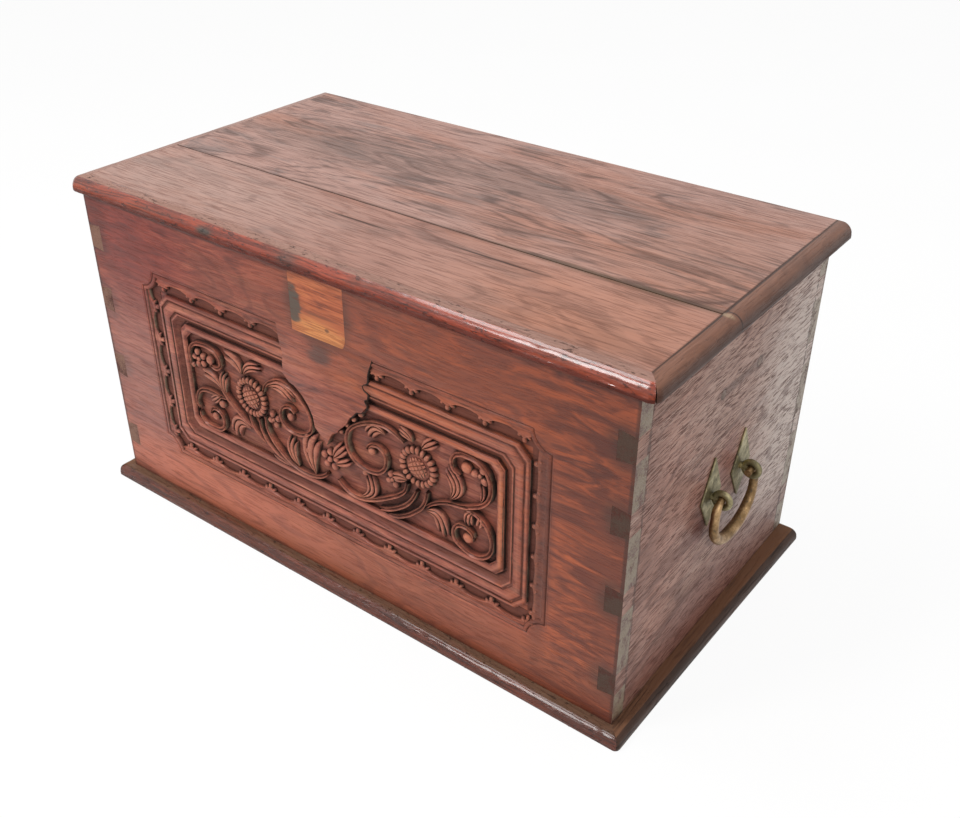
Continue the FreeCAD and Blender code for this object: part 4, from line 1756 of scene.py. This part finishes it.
@dataclass(frozen=True)
class Lamp:
    """A soft studio lamp.

    Attributes:
        name: Its name.
        place: Where it hangs, in metres.
        target: The point that it faces.
        size: Its width and height, in metres.
        power: Its power, in watts.
    """

    name: str
    place: Place
    target: Place
    size: Spot
    power: float

    def hang(self) -> None:
        """Put the lamp in the scene."""
        light = bpy.data.lights.new(self.name, "AREA")
        light.shape = "RECTANGLE"
        light.size, light.size_y = self.size
        light.energy = self.power
        lamp = bpy.data.objects.new(self.name, light)
        lamp.location = self.place
        aim = Vector(self.target) - Vector(self.place)
        lamp.rotation_euler = aim.to_track_quat("-Z", "Y").to_euler()
        bpy.context.scene.collection.objects.link(lamp)


@dataclass
class Studio:
    """The white ground, the soft lights and the camera at the photograph's angle.

    Attributes:
        place: The camera's place, in metres.
        azimuth: Its turn from straight in front, in degrees.
        elevation: Its height above the horizon, in degrees.
        roll: Its lean, in degrees.
        lens: Its focal length on a 36 mm sensor.
        shift: The picture's shift as a share of its width.
        ground_size: The ground's half length, in metres.
        room_light: The light that the white room sheds.
        lamps: The soft lamps.
    """

    place: Place = (0.73994, -0.91092, 0.89969)
    azimuth: float = 36.774
    elevation: float = 31.816
    roll: float = 0.292
    lens: float = 41.415
    shift: Spot = (-0.0004, -0.0164)
    ground_size: float = 8.0
    room_light: float = 0.45
    lamps: tuple[Lamp, ...] = (
        Lamp("key", (-0.9, -1.9, 2.5), (0, 0, 0.2), (0.7, 1.3), 48.0),
        Lamp("fill", (2.3, -1.2, 1.6), (0, 0, 0.25), (1.6, 1.6), 13.0),
        Lamp("overhead", (0.5, 0.9, 2.6), (0.2, 0, 0.3), (1.8, 1.8), 10.0),
        Lamp("window", (-0.8, -0.3, 2.5), (0.2, -0.2, 0.4), (1.0, 0.9), 24.0))

    def build(self) -> None:
        """Make the ground, the lights, the world and the camera."""
        self.ground()
        self.world()
        for lamp in self.lamps:
            lamp.hang()
        self.camera()
        bpy.context.scene.view_settings.view_transform = "Standard"

    def ground(self) -> None:
        """Lay the white ground."""
        bm = bmesh.new()
        bmesh.ops.create_grid(bm, x_segments=4, y_segments=4, size=self.ground_size)
        mesh = bpy.data.meshes.new("studio_ground")
        bm.to_mesh(mesh)
        bm.free()
        mesh.materials.append(PaleGround("white_ground", tint("f2f0ee")).material())
        ground = bpy.data.objects.new("studio_ground", mesh)
        bpy.context.scene.collection.objects.link(ground)

    def world(self) -> None:
        """Light the room softly and show it white."""
        world = bpy.data.worlds.new("studio")
        bpy.context.scene.world = world
        shader = Shader(world)
        level = shader.seen() * (1 - self.room_light) + self.room_light
        room = shader.node("ShaderNodeBackground", sockets={"Color": WHITE, "Strength": level})
        shader.node("ShaderNodeOutputWorld", sockets={"Surface": room})

    def camera(self) -> None:
        """Set the camera at the photograph's angle."""
        turn, lift, roll = (math.radians(a) for a in (self.azimuth, self.elevation, self.roll))
        back = Vector((math.sin(turn) * math.cos(lift), -math.cos(turn) * math.cos(lift), math.sin(lift)))
        right = Vector((math.cos(turn), math.sin(turn), 0.0))
        up = back.cross(right)
        rolled_right = right * math.cos(roll) + up * math.sin(roll)
        rolled_up = up * math.cos(roll) - right * math.sin(roll)
        seat = Matrix((rolled_right, rolled_up, back)).transposed().to_4x4()
        seat.translation = self.place
        lens = bpy.data.cameras.new("camera")
        lens.lens = self.lens
        lens.sensor_width = 36.0
        lens.sensor_fit = "HORIZONTAL"
        lens.shift_x, lens.shift_y = self.shift
        camera = bpy.data.objects.new("camera", lens)
        camera.matrix_world = seat
        bpy.context.scene.collection.objects.link(camera)
        bpy.context.scene.camera = camera


@dataclass
class Palette:
    """The chest's finishes, with their marks set out from the frame's boards.

    Attributes:
        pin_heights: The heights of the dovetail pins' middles, in metres.
        pin_reach: How far from the middle the pins show on the front.
        plug_height: The height of the plugged holes in the right end.
        plug_places: Where across the end the holes are.
    """

    pin_heights: tuple[float, ...] = (0.0703, 0.177, 0.2718, 0.3547)
    pin_reach: float = 0.368
    plug_height: float = 0.328
    plug_places: tuple[float, ...] = (-0.0305, 0.0525)

    def __post_init__(self) -> None:
        """Measure the faces that the marks lie on."""
        self.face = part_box("front_board")[0].y
        self.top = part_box("lid_front_board")[1].z
        self.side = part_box("right_end_board")[1].x
        self.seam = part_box("lid_rear_board")[0].y

    def pin_marks(self) -> tuple[Mark, ...]:
        """Return the dark end grain round the dovetail pins."""
        return tuple(
            Mark((way * self.pin_reach, self.face, height), (0.018, 0.02, 0.021), "3a2a22", 0.6, 0.5, 2.5)
            for way in (1, -1) for height in self.pin_heights)

    def front_stains(self) -> tuple[Mark, ...]:
        """Return the front's stains and painted shade, from rows of places, half sizes, colours and
        looks.
        """
        rows = (
            # This row and the third darken the strip just under the lid: painted shade.
            (0.20, 0.404, 0.20, 0.022, "8a6058", 0.15, 0.6, 1.6),
            (-0.33, 0.375, 0.14, 0.10, "c0341e", 0.66, 0.7, 1.2),
            (-0.10, 0.40, 0.20, 0.035, "c8503c", 0.2, 0.8, 1.2),
            (0.33, 0.32, 0.06, 0.05, "8a6058", 0.2, 0.7, 1.8),
            (0.33, 0.38, 0.12, 0.055, "b8a49c", 0.3, 0.8, 1.2),
            # This row darkens the board towards the plinth.
            (0.24, 0.03, 0.24, 0.032, "c8b8b0", 0.5, 0.8, 1.2))
        return tuple(
            Mark((across, self.face, up), (wide, 0.05, tall), code, *look, MarkKind.STAIN)
            for across, up, wide, tall, code, *look in rows)

    def plug_rings(self) -> tuple[Mark, ...]:
        """Return the dirt round the plugged holes."""
        return tuple(
            Mark((self.side, across, self.plug_height), (0.01, 0.0062, 0.0062), DIRT, 0.75, 0.4, 0.8)
            for across in self.plug_places)

    def seam_marks(self) -> tuple[Mark, ...]:
        """Return the dirt along the lid's joints."""
        return (
            Mark((0.0, self.seam, self.top), (0.42, 0.0022, 0.03), "33241c", 0.55, 0.6, 1.6),
            Mark((0.28, self.seam, self.top), (0.14, 0.0060, 0.03), "463a28", 0.75, 0.7, 0.8),
            Mark((0.3795, 0.0, self.top), (0.0018, 0.25, 0.03), DIRT, 0.8, 0.5, 0.6))

    def front(self) -> WoodFinish:
        """Return the finish of the front board."""
        face = self.face
        return WoodFinish(
            "front_wood", *tints("54241c 924a36 ae654c 64392c 83735f"), seed=2.0, streak=0.55, fine=0.4,
            flame=0.7, blotch=0.5, pores=0.28, pore_scale=(30.0, 640.0), pore_level=0.55, rough=0.40,
            polish=0.03, shine=0.35, soil_reach=0.011, figure=0.3, marks=(
                Mark((0.38, face, 0.18), (0.09, 0.05, 0.22), ORANGE, 0.75, 1.0, 4.0),
                Mark((0.38, face, 0.22), (0.09, 0.05, 0.26), "4a2118", 0.75, 0.8, -5.0),
                Mark((0.284, face, 0.207), (0.013, 0.05, 0.13), "4c2a22", 0.65, 0.5, 1.0),
                Mark((0.22, face, 0.365), (0.14, 0.05, 0.035), ORANGE, 0.6, 1.2, 5.0),
                Mark((0.22, face, 0.365), (0.16, 0.05, 0.04), "4a2118", 0.5, 0.9, -7.0),
                *self.pin_marks(),
                # Orange spots on two of the field's eyes: painted highlights.
                *(Mark((across, face, up), (0.009, 0.02, 0.009), ORANGE, 0.5, 0.5, 0.8)
                  for across, up in ((0.1895, 0.257), (0.1925, 0.169))),
                # Orange along the frame's upper ridge and the field's bead: wear and painted highlight.
                Mark((0.12, face, 0.30), (0.08, 0.02, 0.010), ORANGE, 0.5, 0.6, 2.0),
                Mark((0.145, face, 0.276), (0.085, 0.02, 0.0034), ORANGE, 0.5, 0.5, 1.0),
                Mark((0.2343, face, 0.205), (0.0034, 0.02, 0.066), "bd6a3c", 0.6, 0.5, 1.0),
                Mark((0.0, face, 0.045), (0.37, 0.05, 0.034), "a35f40", 0.4, 0.5, 1.0),
                # Paler pink on the left stile: painted sheen.
                Mark((-0.33, face, 0.20), (0.06, 0.05, 0.16), "9c7068", 0.45, 0.7, 1.0),
                *self.front_stains(),
                Mark((-0.25, face, 0.055), (0.22, 0.05, 0.030), "bd6a50", 0.7, 0.8, 1.0),
                # The dark band just under the lid: painted shadow of the lid, with the dirt where it
                # closes.
                Mark((-0.16, face, 0.4095), (0.31, 0.05, 0.0048), "5e3a34", 0.8, 0.3, 0.6),
                *(Mark((way * 0.379, face, 0.21), (0.003, 0.05, 0.25), DIRT, 0.6, 0.4, 0.8)
                  for way in (1, -1)),
                Mark((-0.0015, face, 0.372), (0.047, 0.02, 0.047), "3d2a20", 0.6, 0.2, 0.5),
                Mark((-0.003, face, 0.317), (0.016, 0.02, 0.009), "40342f", 0.7, 0.5, 1.6)))

    def carved(self) -> WoodFinish:
        """Return the finish of the carving."""
        return replace(
            self.front(), name="carved_wood", dark=tint("4c221a"), body=tint("9a5241"),
            light=tint("c47d60"), grime=tint("5a2e22"), ripple=0.5)

    def back(self) -> WoodFinish:
        """Return the finish of the back board."""
        return WoodFinish(
            "back_wood", *tints("4a2a20 84523f a06e56 513628 a39789"), seed=5.0, streak=0.4, fine=0.4,
            blotch=0.6, rough=0.5)

    def ends(self) -> WoodFinish:
        """Return the finish of the right end board."""
        side = self.side
        # The pale grey-mauve colours are partly the weathered wood and partly painted reflection of the
        # white room; the dark pores, partly real open grain, break it into dashes.
        return WoodFinish(
            "end_wood", *tints("4d271e a58375 bfa598 745648 4c392f"), grain=Grain.ALONG_Y, seed=9.0,
            streak=0.25, fine=0.2, flame=0.4, blotch=0.45, glow=0.2, pores=0.75,
            pore_scale=(52.0, 820.0), pore_level=0.54, rough=0.42, shine=0.14, relief=0.0006,
            figure=0.45, soil=tint("2c170e"), marks=(
                # The pale rear part: painted reflection of the white room.
                Mark((side, 0.18, 0.22), (0.01, 0.10, 0.22), "cdbfb6", 0.75, 0.8, 1.0),
                Mark((side, 0.042, 0.152), (0.01, 0.036, 0.020), "a59692", 0.6, 0.5, 0.6),
                *self.plug_rings(),
                # The dark red patches beside the handle: painted shadow and reflection of the handle.
                Mark((side, -0.055, 0.205), (0.01, 0.03, 0.055), "6e2f28", 0.35, 0.8, 1.0),
                Mark((side, -0.046, 0.172), (0.01, 0.013, 0.018), "5e2018", 0.6, 0.8, 1.0),
                Mark((side, 0.004, 0.232), (0.01, 0.022, 0.03), "6e2f28", 0.45, 0.8, 1.0),
                # The redder lower part: painted reflection of the plinth, where the room's reflection is
                # missing.
                Mark((side, 0.0, 0.030), (0.04, 0.25, 0.06), "77463a", 0.7, 0.7, 1.4),
                Mark((side, -0.14, 0.20), (0.03, 0.06, 0.15), "8a4630", 0.25, 0.7, 1.6, MarkKind.TINT),
                Mark((side, 0.011, self.plug_height), (0.01, 0.05, 0.006), "4a3630", 0.6, 0.8, 1.6),
                *(Mark((side, across, 0.21), (0.01, 0.0020, 0.24), DIRT, 0.65, 0.5, 7.0)
                  for across in (-0.1805, 0.1915)),
                Mark((side, -0.172, 0.21), (0.01, 0.024, 0.25), "6a4a40", 0.35, 0.8, 1.0),
                Mark((side, 0.21, 0.21), (0.01, 0.003, 0.25), DIRT, 0.4, 0.5, 1.0)))

    def left_end(self) -> WoodFinish:
        """Return the finish of the left end board."""
        ends = self.ends()
        # The right end's marks come mirrored, with their painted reflections and the handle's painted
        # shadow.
        return replace(
            ends, name="left_end_wood", end=tint("7d5a4a"), marks=tuple(
                replace(mark, centre=(-self.side, *mark.centre[1:])) for mark in ends.marks
                if mark.centre[2] != self.plug_height))

    def lid_front(self) -> WoodFinish:
        """Return the finish of the lid's front board."""
        top = self.top
        return WoodFinish(
            # The greyish pink colours are partly the worn top's own tone and partly painted sheen.
            "lid_front_wood", *tints("53332b 9a7265 ad8a7c 6e564f 7a6050"), seed=14.0, streak=0.2,
            fine=0.25, flame=0.2, blotch=0.65, glow=0.4, pores=0.38, pore_scale=(20.0, 620.0),
            pore_level=0.55, rough=0.42, shine=0.1, wave=0.012, figure=0.25, marks=(
                *self.seam_marks(),
                Mark((-0.27, -0.13, top), (0.20, 0.07, 0.03), "a8948b", 0.4, 0.8, 1.4),
                Mark((0.27, -0.13, top), (0.16, 0.08, 0.03), "b98d7c", 0.35, 0.8, 1.4),
                Mark((0.30, -0.12, top), (0.13, 0.08, 0.03), "ab6844", 0.3, 0.8, 1.4, MarkKind.TINT),
                Mark((0.25, -0.125, top), (0.05, 0.016, 0.03), "4f3a3a", 0.25, 0.8, 2.4),
                Mark((0.145, -0.0893, top), (0.068, 0.0016, 0.02), DIRT, 0.85, 0.5, 0.7),
                Mark((-0.034, -0.0994, top), (0.048, 0.0017, 0.02), DIRT, 0.85, 0.5, 0.7)))

    def lid_rear(self) -> WoodFinish:
        """Return the finish of the lid's rear board."""
        top = self.top
        return WoodFinish(
            # The greyish pink colours are partly the worn top's own tone and partly painted sheen.
            "lid_rear_wood", *tints("47312b a07d72 b79a8f 6b5f5c 7a6050"), seed=16.0, streak=0.2,
            fine=0.25, flame=0.25, blotch=0.7, glow=0.35, pores=0.38, pore_scale=(20.0, 620.0),
            pore_level=0.55, rough=0.42, shine=0.1, wave=0.012, figure=0.5, marks=(
                *self.seam_marks(),
                Mark((-0.18, 0.07, top), (0.16, 0.05, 0.03), SOOT, 0.4, 0.8, 2.5),
                Mark((0.06, 0.10, top), (0.12, 0.05, 0.03), SOOT, 0.35, 0.8, 2.5),
                Mark((0.31, 0.02, top), (0.10, 0.12, 0.03), "a86a48", 0.25, 0.8, 1.4, MarkKind.TINT)))

    def lid_edge(self) -> WoodFinish:
        """Return the finish of the lid's front moulding."""
        return WoodFinish(
            "lid_moulding_wood", *tints("471a0f 86341e a84a2c 5a3022 6a5044"), seed=21.0, streak=0.5,
            fine=0.5, flame=0.4, blotch=0.6, rough=0.28, polish=1.0, gloss=0.16, shine=0.12,
            relief=0.0016, ripple=2.2, dust=2.4, dust_colour=tint("927064"), marks=(
                Mark((-0.16, -0.2085, 0.419), (0.012, 0.02, 0.006), "3a3d35", 0.85, 0.5, 1.4),
                Mark((-0.035, -0.2085, 0.42), (0.014, 0.02, 0.02), "55433a", 0.6, 0.7, 1.6),
                # The dark band along the lower fillet: painted shade, with dirt.
                Mark((0.0, -0.2085, 0.4105), (0.6, 0.02, 0.0060), "5c2b22", 0.85, 0.15, 0.5)))

    def lid_end_edge(self) -> WoodFinish:
        """Return the finish of the lid's right moulding."""
        top = self.top
        return WoodFinish(
            "lid_end_moulding_wood", *tints("3a2118 76503f 926a57 52392f 5a463a"), grain=Grain.ALONG_Y,
            seed=23.0, streak=0.2, fine=0.25, flame=0.15, blotch=0.4, glow=0.1, pores=0.15, rough=0.36,
            polish=0.25, shine=0.1, ripple=0.5, marks=(
                Mark((0.398, 0.0, 0.4105), (0.02, 0.6, 0.0110), "3a2620", 0.8, 0.5, 0.4),
                Mark((0.3795, 0.0, top), (0.0016, 0.25, 0.03), DIRT, 0.85, 0.5, 0.4),
                Mark((0.385, self.seam, top), (0.006, 0.0035, 0.02), "a48c70", 0.6, 0.5, 0.8),
                Mark((0.390, self.seam + 0.007, 0.42), (0.02, 0.0012, 0.02), DIRT, 0.8, 0.5, 0.5)))

    def lid_left_edge(self) -> WoodFinish:
        """Return the finish of the lid's left moulding."""
        return replace(
            self.lid_end_edge(), name="lid_left_moulding_wood", dark=tint("5c3a31"),
            body=tint("8f6c60"), light=tint("a98576"))

    def plinth(self) -> WoodFinish:
        """Return the finish of the plinth's front moulding."""
        return WoodFinish(
            "plinth_wood", *tints("2e150d 612e1f 7e4632 3c2720 5a463c"), seed=27.0, streak=0.5,
            fine=0.5, flame=0.4, blotch=0.6, rough=0.26, polish=0.45, gloss=0.09, relief=0.0010,
            ripple=2.4, dust=1.1, dust_colour=tint("664a38"))

    def plinth_end(self) -> WoodFinish:
        """Return the finish of the plinth's end mouldings."""
        return WoodFinish(
            "plinth_end_wood", *tints("221510 412b20 56392b 2e2119 40322a"), grain=Grain.ALONG_Y,
            seed=29.0, streak=0.3, fine=0.4, flame=0.3, blotch=0.5, glow=0.1, rough=0.45, shine=0.2,
            dust=1.4, dust_colour=tint("74513c"))

    def patch(self) -> WoodFinish:
        """Return the finish of the patch over the old lock."""
        face = self.face
        return WoodFinish(
            "patch_wood", *tints("6e3119 a9552e c06c3e 8e4826 a87454"), seed=33.0, streak=0.4,
            flame=1.0, blotch=0.3, pores=0.4, rough=0.42, shine=0.4, marks=(
                Mark((0.002, face, 0.343), (0.036, 0.02, 0.015), "d48b4c", 0.75, 0.6, 2.4),
                Mark((-0.036, face, 0.374), (0.011, 0.02, 0.024), "4a4035", 0.95, 0.25, 2.4),
                Mark((0.004, face, 0.3655), (0.026, 0.02, 0.0016), "6a3820", 0.7, 0.6, 1.4),
                Mark((0.012, face, 0.352), (0.003, 0.02, 0.002), DIRT, 0.7, 0.5, 0.8)))

    def plug(self) -> WoodFinish:
        """Return the finish of the plugs in the old holes."""
        return WoodFinish(
            "plug_wood", *tints("4a3830 7d6a60 998880 5a4840 8a786e"), seed=37.0, rough=0.6, polish=0.0)

    def gap(self) -> WoodFinish:
        """Return the finish of the dark gap round the shield."""
        return WoodFinish(
            "dark_gap", *tints("160d0a 2c1c15 40291f 1a100c 2a1c15"), seed=38.0, rough=0.6, polish=0.0)

    def inner(self) -> WoodFinish:
        """Return the finish of the bottom planks and the battens."""
        return WoodFinish(
            "inner_wood", *tints("5a3c2b 8d6347 a87e5e 6a4a36 7a5c46"), seed=41.0, blotch=0.4,
            rough=0.6, polish=0.0)

    def handle(self) -> BrassFinish:
        """Return the finish of the handles' plates and eyes."""
        return BrassFinish("handle_brass", *tints("b3a681 7c7457 434030"), 0.48, 0.44, 3.0)

    def grip(self) -> BrassFinish:
        """Return the finish of the bails."""
        return BrassFinish("grip_brass", *tints("b7966e 7d6344 453828"), 0.5, 0.44, 4.0)

    def hinge(self) -> BrassFinish:
        """Return the finish of the hinges and their screws."""
        return BrassFinish("hinge_brass", *tints("9c7c48 5f4c30 383024"), 0.35, 0.46, 6.0)

    def iron(self) -> BrassFinish:
        """Return the finish of the nails and roves."""
        return BrassFinish("dark_iron", *tints("5c5650 3a332e 33221a"), 0.3, 0.55, 8.0)


def main() -> None:
    """Dress the chest and light it."""
    logging.basicConfig(level=logging.INFO, format="%(relativeCreated)d ms %(message)s")
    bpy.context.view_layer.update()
    palette = Palette()
    front = palette.front().material()
    handle = palette.handle().material()
    grip = palette.grip().material()
    inner = palette.inner().material()
    hinge = palette.hinge().material()
    iron = palette.iron().material()
    Boards().dress({
        "nails": iron, "roves": iron, "screws": hinge, "hinge": hinge,
        "left_end_board": palette.left_end().material(),
        "end_board": palette.ends().material(),
        "back_board": palette.back().material(),
        "lid_front_board": palette.lid_front().material(),
        "lid_rear_board": palette.lid_rear().material(),
        "front_board": front,
        "patch": palette.patch().material(),
        "plugs": palette.plug().material(),
        "plank": inner, "batten": inner})
    CarvedPanel().build(front, palette.carved().material(), palette.gap().material())
    lid_trim = Moulding("lid", "lid", "lid_moulding_wood", 0.006, 0.006, 0.0009, corner=0.0012, tip=0.011)
    lid_trim.build({
        Edge.FRONT: palette.lid_edge().material(),
        Edge.RIGHT: palette.lid_end_edge().material(),
        Edge.LEFT: palette.lid_left_edge().material()})
    plinth_end = palette.plinth_end().material()
    plinth = Moulding(
        "plinth", "chest", "plinth_wood", 0.006, 0.006, 0.0011, 0.0065, tip=0.006, end_shelf=0.010)
    plinth.build({
        Edge.FRONT: palette.plinth().material(),
        Edge.RIGHT: plinth_end,
        Edge.LEFT: plinth_end})
    for side in (1, -1):
        BailHandle(side, handle, grip).build()
    Studio().build()
    LOG.info("dressed")


if __name__ == "__main__":
    main()
